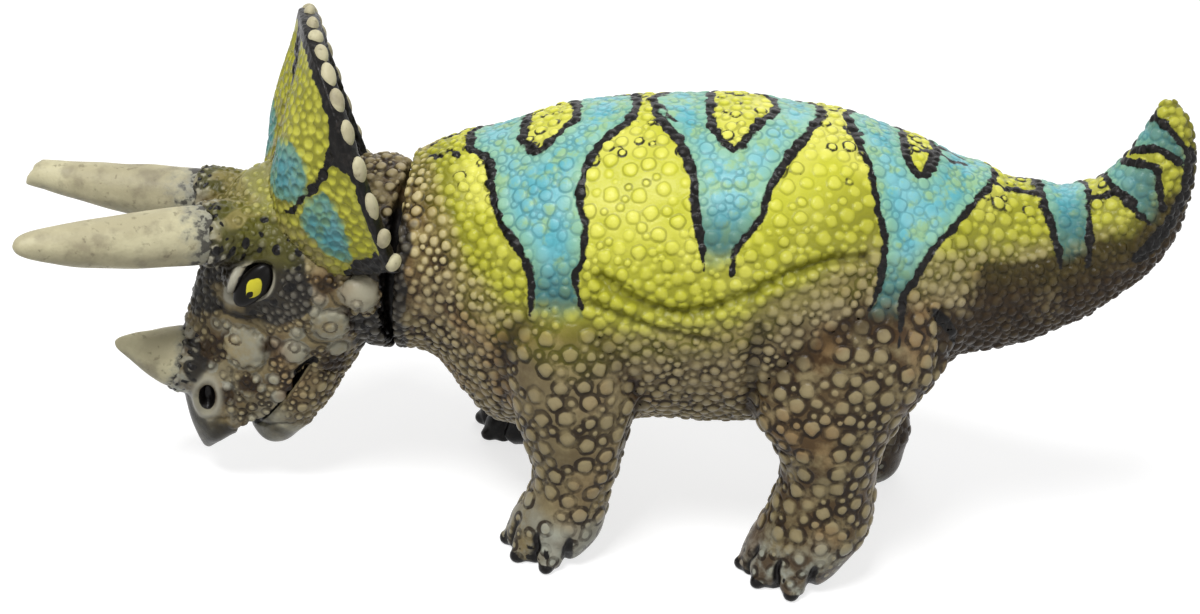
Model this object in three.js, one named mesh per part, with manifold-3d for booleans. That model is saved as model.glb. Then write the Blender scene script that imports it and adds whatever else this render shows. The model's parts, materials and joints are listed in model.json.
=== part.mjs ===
// Toy figure of a horned dinosaur, walking, with its head turned to its left.
// Millimetres. The figure heads along -X, its left side is -Y and up is +Z.
// Every casting is a loft: closed rings of points carried along a line of stations.
import * as THREE from 'three';
import { mergeVertices } from 'three/addons/utils/BufferGeometryUtils.js';
import Module from 'manifold-3d';

const wasm = await Module();
wasm.setup();

const degree = Math.PI / 180;

// Fits
const seatGap = 0.3; // between pieces that are plugged or bonded together
const turnGap = 0.5; // between surfaces that slide on each other
const overrun = 6; // how far a cutter runs past what it cuts

// Trunk
const trunkLength = 143.5; // neck joint to tail seam
const trunkDepth = 83.6;
const trunkWidth = 73;
const backHeight = 113.3; // floor to the ridge of the back
const scaleRise = 0.9; // how far the cast scales stand out of the trunk's skin

// Neck joint
const neckHeight = 64.7; // floor to the middle of the ball
const neckRadius = 25.2;
const neckRim = 4; // how far the end of the neck lies behind the ball's middle
const socketRadius = 19.5;
const ballRadius = 8;
const stemRadius = 3.5;
const stemSeat = 11; // how deep the stem is plugged into the trunk
const headTurn = 15 * degree; // how far the head looks to the left at rest
const headTurnLimit = 20 * degree; // to each side of straight ahead
const turnMargin = 1.5 * degree;

// Tail
const tailReach = 40.2; // tail seam to the rearmost point of the tail's middle line
const tailRise = 46.5; // tail seam to the tip
const tailSeamHeight = 78.8;
const tailSeamDepth = 48;
const tailSeamWidth = 43;
const tailPlugRadius = 9;
const tailPlugLength = 10;

// Legs: a front and a hind pair, each one leg below the shoulder or hip
const hipSetback = 32; // line of the hind leg to the tail seam
const frontLeg = {
  reach: 49.5, // neck joint to the line of the leg
  height: 76,
  girth: 34, // front to back at the widest
  breadth: 28,
  spread: 28.6, // middle of the figure to the middle of the sole
  stride: { left: 0, right: -12.5 }, // how far each foot is ahead or behind
  plugOffset: -2, // line of the leg to its plug
  plugHeight: 55,
};
const hindLeg = {
  reach: trunkLength - hipSetback,
  height: 82,
  girth: 47,
  breadth: 30,
  spread: 28,
  stride: { left: 0, right: 23 },
  plugOffset: 3,
  plugHeight: 60,
};
const plugRadius = 5;
const plugDepth = 9; // how far a leg's plug goes into the trunk
const toeLength = 10.4;
const toeWidth = 8.8;
const toeHeight = 9;
const toeReach = 2; // how far a toe stands out of the foot
const clawLength = 6.4;
const clawWidth = 4.6;
const clawHeight = 4.2;

// Head, measured along the muzzle and across it from the jaw line up to the brow
const muzzlePitch = 61 * degree; // the muzzle's slope below the level
const skullLength = 71.2;
const skullDepth = 47;
const skullWidth = 48;
const mouthLevel = 6.2;
const jawRoot = 32; // where the lower jaw starts along the muzzle
const jawLength = 30.5;
const jawDepth = 13.4;
const jawWidth = 25;
const cheekKnob = { reach: 7.2, rise: 7.4, offset: 21.5, radius: 5.2 };
const eye = { reach: 21, rise: 27.7, offset: 15, length: 11, height: 9, depth: 7.4 };
const eyelidWall = 1.9;
const nostril = { reach: 57, rise: 20.2, offset: 6.6, length: 6.4, width: 4, depth: 4 };
const nostrilWall = 1.5;

// Horns
const browHorn = {
  length: 45,
  rightLength: 43, // the right horn is worn shorter
  rootRadius: 7.2,
  reach: 45.8, // ball's middle to the root, forward
  height: 7.8, // ball's middle to the root, upward
  spacing: 21.4, // between the middles of the two roots
  splay: 15 * degree,
  lift: 2.5 * degree,
  bowDepth: 0.6, // how far the middle of the horn bows down
};
const noseHorn = {
  length: 16.6,
  rootRadius: 8,
  reach: 51.3,
  drop: 31, // ball's middle to the root, downward
  lift: 15.5 * degree,
  bowDepth: 0.4,
};
const hornPegLength = 8;
const bossLength = 11;
const bossWall = 1.1; // how far a horn's boss is wider than its root

// Frill
const frillHalfWidth = 33;
const frillRimHeight = 19; // ball's middle to the rim's widest level
const frillRise = 41; // from there to the top of the rim
const frillTopReach = 22.8; // ball's middle to the top of the rim, forward
const frillSideReach = 2.8; // the same at the two lower ends
const frillRootHalfWidth = 20;
const frillRootHeight = 5;
const frillRootRise = 9;
const frillRootTopReach = 30;
const frillRootSideReach = 14;
const frillSpan = 106 * degree; // from the top of the fan to each lower end
const frillRootThickness = 6;
const frillRimThickness = 3.6;
const frillValley = 2; // how far the middle of the fan lies back between its two halves
const valleyTurn = 17 * degree; // half the valley's width
const studCount = 19;
const studLength = 6.6;
const studWidth = 4.4;
const studThickness = 5.4;

// Rows of the loft tables, as shares of the sizes named above
const trunkShares = [
  // along, height of the middle, depth, width
  [0.066, 0.583, 0.635, 0.68],
  [0.108, 0.587, 0.695, 0.715],
  [0.157, 0.559, 0.828, 0.781],
  [0.206, 0.55, 0.933, 0.863],
  [0.275, 0.565, 0.993, 0.932],
  [0.373, 0.593, 1, 0.986],
  [0.47, 0.62, 0.986, 1],
  [0.568, 0.631, 0.99, 1],
  [0.666, 0.638, 0.969, 0.986],
  [0.749, 0.643, 0.928, 0.945],
  [0.826, 0.643, 0.876, 0.877],
  [0.895, 0.65, 0.794, 0.781],
  [0.951, 0.668, 0.675, 0.685],
];
const tailShares = [
  // along the reach, along the rise, thickness
  [0, 0, 1],
  [0.19, 0.015, 0.9],
  [0.405, 0.07, 0.8],
  [0.624, 0.146, 0.68],
  [0.829, 0.29, 0.555],
  [0.94, 0.458, 0.45],
  [0.995, 0.643, 0.345],
  [1, 0.8, 0.25],
  [0.97, 0.937, 0.145],
  [0.95, 1, 0.05],
];
const frontLegShares = [
  // height, shift to the rear, girth, breadth, spread
  [0, -0.088, 0.5, 0.667, 1],
  [0.04, -0.074, 0.62, 0.815, 1],
  [0.105, -0.025, 0.675, 0.852, 1],
  [0.184, 0.025, 0.62, 0.785, 0.99],
  [0.263, 0.05, 0.57, 0.756, 0.985],
  [0.368, 0.059, 0.706, 0.815, 0.98],
  [0.474, 0.03, 0.853, 0.889, 0.95],
  [0.605, -0.015, 0.97, 0.963, 0.91],
  [0.763, -0.059, 1, 1, 0.857],
  [0.895, -0.059, 0.853, 0.926, 0.8],
  [1, -0.03, 0.53, 0.667, 0.714],
];
const hindLegShares = [
  [0, -0.11, 0.426, 0.633, 1],
  [0.037, -0.088, 0.52, 0.767, 1],
  [0.098, -0.045, 0.555, 0.82, 1],
  [0.171, 0.015, 0.565, 0.787, 1],
  [0.244, 0.042, 0.54, 0.733, 0.995],
  [0.354, 0.048, 0.5, 0.733, 0.98],
  [0.451, 0.018, 0.575, 0.833, 0.964],
  [0.561, -0.025, 0.81, 0.933, 0.91],
  [0.732, 0.043, 1, 1, 0.84],
  [0.878, 0.085, 0.894, 0.933, 0.75],
  [1, 0.106, 0.596, 0.7, 0.643],
];
const skullShares = [
  // along the muzzle, lower edge, upper edge, width
  [-0.056, 0.255, 0.809, 0.5],
  [0.028, 0.128, 0.877, 0.792],
  [0.126, 0, 0.898, 0.958],
  [0.239, -0.106, 0.872, 0.917],
  [0.365, -0.149, 0.821, 0.771],
  [0.492, -0.157, 0.779, 0.667],
  [0.632, -0.149, 0.715, 0.562],
  [0.744, -0.064, 0.63, 0.475],
  [0.843, 0.128, 0.532, 0.392],
  [0.927, 0.204, 0.415, 0.275],
  [1, 0.234, 0.285, 0.083],
];
const jawShares = [
  // along the jaw, lower edge, upper edge, width
  [0, -0.537, 0.433, 0.96],
  [0.27, -0.567, 0.44, 0.96],
  [0.54, -0.537, 0.44, 0.84],
  [0.78, -0.418, 0.418, 0.688],
  [0.95, -0.224, 0.299, 0.448],
  [1, -0.112, 0.179, 0.24],
];
const hornShares = [
  // along, radius
  [0, 1],
  [0.15, 0.99],
  [0.35, 0.93],
  [0.55, 0.82],
  [0.75, 0.65],
  [0.9, 0.45],
  [0.97, 0.28],
  [1, 0.08],
];
const noseHornShares = [
  // along, radius
  [0, 1],
  [0.15, 0.96],
  [0.35, 0.8],
  [0.6, 0.56],
  [0.82, 0.34],
  [0.95, 0.18],
  [1, 0.06],
];
const crownTaperShare = 0.3; // how much narrower the skull is at the brow than at its middle
const lobeShare = 0.1; // how far each half of the frill bulges, of the half width
const valleyRimShare = 0.35; // the valley's depth at the rim and the root, of its full depth
const sweepPower = 1.7; // how the frill's sides sweep back
const stridePower = 1.7; // how a stride gathers toward the foot
const toeTurns = [-38, 4, 44, 84]; // degrees from straight ahead to the outer side

// Mesh helpers

// A closed geometry from rings of points; each end closes on the middle of its ring.
function skin(rings) {
  const sides = rings[0].length;
  const positions = [];
  const index = [];
  const middle = (ring) => {
    const sum = new THREE.Vector3();
    ring.forEach((point) => sum.add(point));
    return sum.divideScalar(ring.length);
  };
  for (const ring of rings) {
    ring.forEach((point) => positions.push(point.x, point.y, point.z));
  }
  for (let r = 0; r + 1 < rings.length; r += 1) {
    for (let k = 0; k < sides; k += 1) {
      const next = (k + 1) % sides;
      const [a, b] = [r * sides + k, r * sides + next];
      index.push(a, b, b + sides, a, b + sides, a + sides);
    }
  }
  const last = (rings.length - 1) * sides;
  const startCap = rings.length * sides;
  const endCap = startCap + 1;
  for (const cap of [middle(rings[0]), middle(rings[rings.length - 1])]) {
    positions.push(cap.x, cap.y, cap.z);
  }
  for (let k = 0; k < sides; k += 1) {
    const next = (k + 1) % sides;
    index.push(startCap, next, k);
    index.push(endCap, last + k, last + next);
  }
  const geometry = new THREE.BufferGeometry();
  geometry.setAttribute('position', new THREE.Float32BufferAttribute(positions, 3));
  geometry.setIndex(index);
  return geometry;
}

// A solid for joining and cutting. A geometry wound inside out is turned first.
function solid(geometry) {
  const bare = geometry.clone();
  bare.deleteAttribute('normal');
  bare.deleteAttribute('uv');
  const merged = mergeVertices(bare);
  const points = Float32Array.from(merged.attributes.position.array);
  const triangles = Uint32Array.from(merged.index.array);
  if (signedVolume(points, triangles) < 0) {
    for (let i = 0; i < triangles.length; i += 3) {
      [triangles[i], triangles[i + 1]] = [triangles[i + 1], triangles[i]];
    }
  }
  return new wasm.Manifold(new wasm.Mesh({ numProp: 3, vertProperties: points, triVerts: triangles }));
}

function signedVolume(points, triangles) {
  const corner = (i) => new THREE.Vector3().fromArray(points, triangles[i] * 3);
  let sum = 0;
  for (let i = 0; i < triangles.length; i += 3) {
    sum += corner(i).dot(corner(i + 1).cross(corner(i + 2)));
  }
  return sum;
}

// The mesh of a solid, with its name and its finish.
function piece(name, form, finish) {
  const { vertProperties, triVerts, numProp } = form.getMesh();
  const points = [];
  for (let i = 0; i < vertProperties.length; i += numProp) {
    points.push(vertProperties[i], vertProperties[i + 1], vertProperties[i + 2]);
  }
  const geometry = new THREE.BufferGeometry();
  geometry.setAttribute('position', new THREE.Float32BufferAttribute(points, 3));
  geometry.setIndex(Array.from(triVerts));
  geometry.computeVertexNormals();
  const mesh = new THREE.Mesh(geometry, new THREE.MeshStandardMaterial(finish));
  mesh.name = name;
  return mesh;
}

// Smooth stations between the rows of a table: steps of them for each row.
function smooth(rows, steps) {
  const columns = rows[0].length;
  const curves = [];
  for (let c = 0; c < columns; c += 1) {
    curves.push(new THREE.SplineCurve(rows.map((row, i) => new THREE.Vector2(i, row[c]))));
  }
  const count = (rows.length - 1) * steps;
  const stations = [];
  for (let i = 0; i <= count; i += 1) {
    stations.push(curves.map((curve) => curve.getPoint(i / count).y));
  }
  return stations;
}

// A ring round a middle point. fullness above 1 squares the ellipse; taper narrows its top.
function ring(middle, across, up, sides, taper = 0, fullness = 1) {
  const points = [];
  for (let k = 0; k < sides; k += 1) {
    const angle = (k / sides) * 2 * Math.PI;
    const bend = (value) => Math.sign(value) * Math.abs(value) ** (1 / fullness);
    const [x, y] = [bend(Math.cos(angle)), bend(Math.sin(angle))];
    points.push(middle.clone().addScaledVector(across, x * (1 - taper * y)).addScaledVector(up, y));
  }
  return points;
}

function moved(geometry, place, turn = new THREE.Euler()) {
  const matrix = new THREE.Matrix4().compose(
    place,
    new THREE.Quaternion().setFromEuler(turn),
    new THREE.Vector3(1, 1, 1),
  );
  return geometry.clone().applyMatrix4(matrix);
}

function ball(radius, place, sides = 20) {
  return solid(moved(new THREE.SphereGeometry(radius, sides, sides / 2), place));
}

// An ellipsoid from its three full sizes, standing on three directions of its own.
function bead(sizes, place, directions, sides = 12) {
  const unit = new THREE.SphereGeometry(0.5, sides, sides / 2);
  const matrix = new THREE.Matrix4().makeBasis(
    directions[0].clone().multiplyScalar(sizes[0]),
    directions[1].clone().multiplyScalar(sizes[1]),
    directions[2].clone().multiplyScalar(sizes[2]),
  );
  matrix.setPosition(place);
  return solid(unit.applyMatrix4(matrix));
}

// A rod between two points.
function rod(radius, from, to, sides = 14) {
  const line = to.clone().sub(from);
  const geometry = new THREE.CylinderGeometry(radius, radius, line.length(), sides);
  const turn = new THREE.Quaternion();
  turn.setFromUnitVectors(new THREE.Vector3(0, 1, 0), line.normalize());
  const matrix = new THREE.Matrix4().makeRotationFromQuaternion(turn);
  matrix.setPosition(from.clone().add(to).divideScalar(2));
  return solid(geometry.applyMatrix4(matrix));
}

// Trunk

const halfShare = 0.5; // of a full depth or width
const trunkSteps = 2;
const trunkSides = 30;
const trunkStations = smooth(
  [
    [neckRim, neckHeight, neckRadius, neckRadius],
    ...trunkShares.map(([along, mid, deep, wide]) => [
      along * trunkLength,
      mid * backHeight,
      deep * trunkDepth * halfShare,
      wide * trunkWidth * halfShare,
    ]),
    [trunkLength, tailSeamHeight, tailSeamDepth * halfShare, tailSeamWidth * halfShare],
  ],
  trunkSteps,
);

// Raises every other point of every other ring to a cast scale, set over by one from row to row.
// The neck's rim and the tail's seam stay plain.
function raiseScales(rings) {
  for (let r = trunkSteps; r + trunkSteps < rings.length; r += trunkSteps) {
    const row = r / trunkSteps;
    rings[r].forEach((point, k) => {
      if ((k + row) % 2) {
        const out = point.clone().setX(0).sub(new THREE.Vector3(0, 0, trunkStations[r][1]));
        point.addScaledVector(out.normalize(), scaleRise);
      }
    });
  }
  return rings;
}

// The trunk's outer form, made larger all round by grow.
function trunkForm(grow) {
  const rings = trunkStations.map(([along, mid, deep, wide]) =>
    ring(
      new THREE.Vector3(along, 0, mid),
      new THREE.Vector3(0, wide + grow, 0),
      new THREE.Vector3(0, 0, deep + grow),
      trunkSides,
    ),
  );
  return solid(skin(raiseScales(rings)));
}

const neckMiddle = new THREE.Vector3(0, 0, neckHeight);
const neckFloor = socketRadius + turnGap; // from the ball's middle back to the bottom of the neck's socket
const stemEnd = neckFloor + stemSeat;

function alongBody(distance) {
  return new THREE.Vector3(distance, 0, neckHeight);
}

function tailPlugLine(from, to) {
  return [new THREE.Vector3(from, 0, tailSeamHeight), new THREE.Vector3(to, 0, tailSeamHeight)];
}

function plugLine(leg, side, inner, outer) {
  return [inner, outer].map((y) => new THREE.Vector3(leg.reach + leg.plugOffset, side * y, leg.plugHeight));
}

const plugOuter = trunkWidth / 2;
const plugInner = plugOuter - plugDepth;

function trunk() {
  let form = trunkForm(0);
  form = form.subtract(ball(neckFloor, neckMiddle, neckSides));
  form = form.subtract(rod(stemRadius + seatGap, alongBody(0), alongBody(stemEnd + seatGap)));
  form = form.subtract(
    rod(tailPlugRadius + seatGap, ...tailPlugLine(trunkLength - tailPlugLength, trunkLength + overrun)),
  );
  for (const leg of [frontLeg, hindLeg]) {
    for (const side of [-1, 1]) {
      const hole = plugLine(leg, side, plugInner - seatGap, trunkWidth);
      form = form.subtract(rod(plugRadius + seatGap, ...hole));
    }
  }
  return form;
}

// The ball stud that the head turns on: a ball, its stem and the plug in the trunk.
function neckBall() {
  const stem = rod(stemRadius, alongBody(0), alongBody(stemEnd));
  return ball(ballRadius, neckMiddle, 16).add(stem);
}

// Tail

const tailSteps = 2;
const tailSides = 18;

function tail() {
  const rows = tailShares.map(([reach, rise, thick]) => [
    trunkLength + seatGap + reach * tailReach,
    tailSeamHeight + rise * tailRise,
    thick * tailSeamDepth * halfShare,
    thick * tailSeamWidth * halfShare,
  ]);
  const stations = smooth(rows, tailSteps);
  const rings = stations.map(([x, z, deep, wide], i) => {
    const before = stations[Math.max(i - 1, 0)];
    const after = stations[Math.min(i + 1, stations.length - 1)];
    const slope = i === 0 ? 0 : Math.atan2(after[1] - before[1], after[0] - before[0]);
    const up = new THREE.Vector3(-Math.sin(slope), 0, Math.cos(slope)).multiplyScalar(deep);
    return ring(new THREE.Vector3(x, 0, z), new THREE.Vector3(0, wide, 0), up, tailSides);
  });
  const plug = tailPlugLine(trunkLength - tailPlugLength + seatGap, trunkLength + overrun);
  return solid(skin(rings)).add(rod(tailPlugRadius, ...plug));
}

// Legs

const legSides = 16;
const legSteps = 1;

function toesOf(leg, shares, side, footX) {
  const [, shift, girth, breadth] = shares[2];
  const sole = new THREE.Vector3(footX + shift * leg.girth, side * leg.spread, 0);
  const halfLength = girth * leg.girth * halfShare;
  const halfBreadth = breadth * leg.breadth * halfShare;
  const parts = [];
  for (const turn of toeTurns) {
    const angle = turn * degree;
    const ahead = new THREE.Vector3(-Math.cos(angle), side * Math.sin(angle), 0);
    const sideways = new THREE.Vector3(0, 0, 1).cross(ahead);
    const up = new THREE.Vector3(0, 0, 1);
    const root = sole.clone();
    root.x += ahead.x * (halfLength - toeLength / 2 + toeReach);
    root.y += ahead.y * (halfBreadth - toeLength / 2 + toeReach);
    root.z = toeHeight / 2 - toeHeight / 8;
    parts.push(bead([toeLength, toeWidth, toeHeight], root, [ahead, sideways, up], 8));
    const tip = root.clone().addScaledVector(ahead, toeLength / 2 - clawLength / 4);
    tip.z = clawHeight / 3;
    parts.push(bead([clawLength, clawWidth, clawHeight], tip, [ahead, sideways, up], 6));
  }
  return parts;
}

// One leg, cut by the trunk where it joins it and flat under the sole.
function legForm(leg, shares, side) {
  const stride = side < 0 ? leg.stride.left : leg.stride.right;
  const stations = smooth(shares, legSteps);
  const rings = stations.map(([high, shift, girth, breadth, spread]) =>
    ring(
      new THREE.Vector3(
        leg.reach + shift * leg.girth + stride * (1 - high) ** stridePower,
        side * spread * leg.spread,
        high * leg.height,
      ),
      new THREE.Vector3(girth * leg.girth * halfShare, 0, 0),
      new THREE.Vector3(0, breadth * leg.breadth * halfShare, 0),
      legSides,
    ),
  );
  let form = solid(skin(rings));
  for (const part of toesOf(leg, shares, side, leg.reach + stride)) {
    form = form.add(part);
  }
  const slab = new THREE.BoxGeometry(trunkLength * 2, trunkWidth * 2, trunkDepth);
  form = form.subtract(solid(moved(slab, new THREE.Vector3(leg.reach, 0, -trunkDepth / 2))));
  form = form.subtract(trunkForm(seatGap));
  return form.add(rod(plugRadius, ...plugLine(leg, side, plugInner, plugOuter)));
}

// Head. Its own frame has the ball's middle at the origin and faces -X.

const facing = (forward, left, up) => new THREE.Vector3(-forward, -left, up);
const muzzleAlong = facing(Math.cos(muzzlePitch), 0, -Math.sin(muzzlePitch));
const muzzleUp = facing(Math.sin(muzzlePitch), 0, Math.cos(muzzlePitch));
const leftward = facing(0, 1, 0);

// A point from its places along the muzzle, across it and to the left.
function muzzlePoint(along, across, left) {
  return new THREE.Vector3()
    .addScaledVector(muzzleAlong, along)
    .addScaledVector(muzzleUp, across)
    .addScaledVector(leftward, left);
}

function muzzleLoft(rows, start, length, depth, width, sides, steps, taper) {
  const rings = smooth(rows, steps).map(([along, low, high, wide]) =>
    ring(
      muzzlePoint(start + along * length, ((low + high) / 2) * depth, 0),
      leftward.clone().multiplyScalar((wide * width) / 2),
      muzzleUp.clone().multiplyScalar(((high - low) / 2) * depth),
      sides,
      taper,
    ),
  );
  return solid(skin(rings));
}

// A block that spans two corners of the muzzle's frame.
function muzzleBlock(alongFrom, alongTo, acrossFrom, acrossTo, width) {
  const box = new THREE.BoxGeometry(alongTo - alongFrom, width, acrossTo - acrossFrom);
  const matrix = new THREE.Matrix4().makeBasis(muzzleAlong, leftward.clone().negate(), muzzleUp);
  matrix.setPosition(muzzlePoint((alongFrom + alongTo) / 2, (acrossFrom + acrossTo) / 2, 0));
  return solid(box.applyMatrix4(matrix));
}

function skullForm(grow) {
  return muzzleLoft(
    skullShares,
    -grow,
    skullLength + 2 * grow,
    skullDepth + 2 * grow,
    skullWidth + 2 * grow,
    22,
    1,
    crownTaperShare,
  );
}

const neckSides = 20;

// The rear of the head: a full neck, cut back in a V so that it can turn against the trunk's neck.
function neckRoll() {
  let form = ball(neckRadius, new THREE.Vector3(), neckSides);
  for (const side of [-1, 1]) {
    const turn = side * (headTurnLimit + turnMargin);
    const half = neckRadius + overrun;
    const box = new THREE.BoxGeometry(2 * half, 4 * half, 4 * half);
    const reach = neckRim - turnGap + half;
    const place = new THREE.Vector3(Math.cos(turn) * reach, Math.sin(turn) * reach, 0);
    form = form.subtract(solid(moved(box, place, new THREE.Euler(0, 0, turn))));
  }
  return form.add(ball(socketRadius, new THREE.Vector3(), neckSides));
}

// The room that the ball and its stem need in the head as it turns.
function neckRoom() {
  const room = ballRadius + turnGap;
  const slotHalf = stemRadius + turnGap;
  const reach = neckRadius + overrun;
  const limit = headTurnLimit + turnMargin;
  const fan = new THREE.Shape();
  const corner = (turn, out, sideways) => [
    Math.cos(turn) * out - Math.sin(turn) * sideways,
    Math.sin(turn) * out + Math.cos(turn) * sideways,
  ];
  fan.moveTo(...corner(-limit, 0, -slotHalf));
  fan.lineTo(...corner(-limit, reach, -slotHalf));
  fan.lineTo(...corner(0, reach + slotHalf, 0));
  fan.lineTo(...corner(limit, reach, slotHalf));
  fan.lineTo(...corner(limit, 0, slotHalf));
  fan.closePath();
  const slot = new THREE.ExtrudeGeometry(fan, { depth: 2 * slotHalf, bevelEnabled: false });
  return ball(room, new THREE.Vector3(), 16).add(solid(moved(slot, new THREE.Vector3(0, 0, -slotHalf))));
}

function eyeBead(side, grow) {
  const place = muzzlePoint(eye.reach, eye.rise, -side * eye.offset);
  const sizes = [eye.length + grow, eye.height + grow, eye.depth + grow];
  return bead(sizes, place, [muzzleAlong, muzzleUp, leftward], 12);
}

// The lids stand round the bead and leave its front open.
function eyelids(side) {
  const place = muzzlePoint(eye.reach, eye.rise, -side * (eye.offset - eyelidWall / 2));
  const sizes = [eye.length + 2 * eyelidWall, eye.height + 2 * eyelidWall, eye.depth - eyelidWall / 2];
  return bead(sizes, place, [muzzleAlong, muzzleUp, leftward], 12);
}

// Each horn's root and direction in the head's frame.
function browHornLine(side) {
  const root = facing(browHorn.reach, -side * (browHorn.spacing / 2), browHorn.height);
  const level = Math.cos(browHorn.lift);
  const direction = facing(
    level * Math.cos(browHorn.splay),
    -side * level * Math.sin(browHorn.splay),
    Math.sin(browHorn.lift),
  );
  const length = side < 0 ? browHorn.length : browHorn.rightLength;
  return { root, direction, horn: { ...browHorn, length }, shares: hornShares };
}

function noseHornLine() {
  const root = facing(noseHorn.reach, 0, -noseHorn.drop);
  const direction = facing(Math.cos(noseHorn.lift), 0, Math.sin(noseHorn.lift));
  return { root, direction, horn: noseHorn, shares: noseHornShares };
}

const hornLines = {
  left_brow_horn: browHornLine(-1),
  right_brow_horn: browHornLine(1),
  nose_horn: noseHornLine(),
};
const hornSides = 14;
const pegShare = 0.55; // a peg's radius, of its horn's root

// A horn bows along its length and ends in a peg behind its root.
function hornForm({ root, direction, horn, shares }) {
  const sideways = new THREE.Vector3(0, 0, 1).cross(direction).normalize();
  const up = direction.clone().cross(sideways);
  const rings = smooth(shares, 1).map(([along, radius]) => {
    const middle = root
      .clone()
      .addScaledVector(direction, seatGap + along * horn.length)
      .addScaledVector(up, -Math.sin(along * Math.PI) * horn.bowDepth);
    const out = radius * horn.rootRadius;
    return ring(middle, sideways.clone().multiplyScalar(out), up.clone().multiplyScalar(out), hornSides);
  });
  const back = root.clone().addScaledVector(direction, -hornPegLength);
  const front = root.clone().addScaledVector(direction, horn.rootRadius / 4);
  return solid(skin(rings)).add(rod(horn.rootRadius * pegShare, back, front, hornSides));
}

// The collar of skin that a horn stands in, with its rounded shoulder behind.
function hornBoss({ root, direction, horn }, grow) {
  const back = root.clone().addScaledVector(direction, -bossLength);
  const radius = horn.rootRadius + bossWall + grow;
  const front = root.clone().addScaledVector(direction, grow);
  return rod(radius, back, front, hornSides).add(ball(radius, back, 12));
}

// The hole for a horn's peg and the flat seat in front of it that the horn stands on.
function hornSocket({ root, direction, horn }) {
  const back = root.clone().addScaledVector(direction, -hornPegLength - seatGap);
  const front = root.clone().addScaledVector(direction, 2 * overrun);
  const hole = rod(horn.rootRadius * pegShare + seatGap, back, front, hornSides);
  return hole.add(rod(horn.rootRadius + seatGap, root, front, hornSides));
}

function head() {
  let form = skullForm(0);
  for (const side of [-1, 1]) {
    const knob = muzzlePoint(cheekKnob.reach, cheekKnob.rise, side * cheekKnob.offset);
    form = form.add(ball(cheekKnob.radius, knob, 12));
    form = form.add(eyelids(side));
    const rim = muzzlePoint(nostril.reach, nostril.rise, side * (nostril.offset - nostrilWall));
    const wide = [nostril.length, nostril.width, nostril.depth].map((size) => size + 2 * nostrilWall);
    form = form.add(bead(wide, rim, [muzzleAlong, muzzleUp, leftward], 12));
  }
  for (const line of Object.values(hornLines)) {
    form = form.add(hornBoss(line, 0));
  }
  form = form.subtract(
    muzzleBlock(jawRoot, skullLength + overrun, -skullDepth, mouthLevel, skullWidth),
  );
  form = form.add(neckRoll());
  form = form.subtract(neckRoom());
  for (const line of Object.values(hornLines)) {
    form = form.subtract(hornSocket(line));
  }
  for (const side of [-1, 1]) {
    const pit = muzzlePoint(nostril.reach, nostril.rise, side * (nostril.offset + nostrilWall));
    form = form.subtract(eyeBead(side, 2 * seatGap));
    form = form.subtract(
      bead([nostril.length, nostril.width, nostril.depth], pit, [muzzleAlong, muzzleUp, leftward], 10),
    );
  }
  return form;
}

function lowerJaw() {
  const form = muzzleLoft(jawShares, jawRoot + seatGap, jawLength, jawDepth, jawWidth, 18, 2, 0);
  const roof = muzzleBlock(0, skullLength + overrun, mouthLevel - seatGap, skullDepth, skullWidth);
  return form.subtract(roof);
}

// Frill

const frillTurns = 24;
const frillSteps = 3;

// A point of the fan's middle surface: turn runs round it from the top, out runs from root to rim.
function frillPoint(turn, out) {
  const sweep = 1 - Math.abs(turn / frillSpan) ** sweepPower;
  const mix = (root, rim) => root + (rim - root) * out;
  const bulge = Math.sin(out * Math.PI);
  const lobe = bulge * Math.sin(Math.min(Math.abs(turn) * 2, Math.PI)) ** 2 * lobeShare * frillHalfWidth;
  const fill = valleyRimShare + (1 - valleyRimShare) * bulge;
  const valley = Math.exp(-((turn / valleyTurn) ** 2)) * fill * frillValley;
  const forward = mix(
    frillRootSideReach + (frillRootTopReach - frillRootSideReach) * sweep,
    frillSideReach + (frillTopReach - frillSideReach) * sweep,
  );
  return facing(
    forward + lobe - valley,
    mix(frillRootHalfWidth, frillHalfWidth) * Math.sin(turn),
    mix(frillRootHeight + frillRootRise * Math.cos(turn), frillRimHeight + frillRise * Math.cos(turn)),
  );
}

// Each section of the fan is a closed ring: out along its front, back along its rear.
function frillSection(turn) {
  const points = [];
  const half = (out) => (frillRootThickness + (frillRimThickness - frillRootThickness) * out) / 2;
  for (let i = 0; i <= frillSteps; i += 1) {
    const out = i / frillSteps;
    points.push(frillPoint(turn, out).add(facing(half(out), 0, 0)));
  }
  for (let i = frillSteps; i >= 0; i -= 1) {
    const out = i / frillSteps;
    points.push(frillPoint(turn, out).add(facing(-half(out), 0, 0)));
  }
  return points;
}

const studPlaceShare = 0.94; // of the way from the frill's root to its rim

// The pale studs stand evenly along the rim.
function studs() {
  const forms = [];
  for (let i = 0; i < studCount; i += 1) {
    const turn = ((2 * i) / (studCount - 1) - 1) * frillSpan * studPlaceShare;
    const place = frillPoint(turn, studPlaceShare);
    const along = frillPoint(turn + degree, studPlaceShare).sub(frillPoint(turn - degree, studPlaceShare));
    const outward = frillPoint(turn, 1).sub(frillPoint(turn, 0)).normalize();
    along.normalize();
    const front = along.clone().cross(outward).normalize();
    const width = front.clone().cross(along);
    forms.push(bead([studLength, studWidth, studThickness], place, [along, width, front], 6));
  }
  return forms;
}

function frill() {
  const rings = [];
  for (let i = 0; i <= frillTurns; i += 1) {
    rings.push(frillSection(((2 * i) / frillTurns - 1) * frillSpan));
  }
  let form = solid(skin(rings));
  for (const stud of studs()) {
    form = form.add(stud);
  }
  form = form.subtract(skullForm(seatGap));
  form = form.subtract(ball(neckRadius + seatGap, new THREE.Vector3(), neckSides));
  for (const line of Object.values(hornLines)) {
    form = form.subtract(hornBoss(line, seatGap));
  }
  return form;
}

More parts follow.
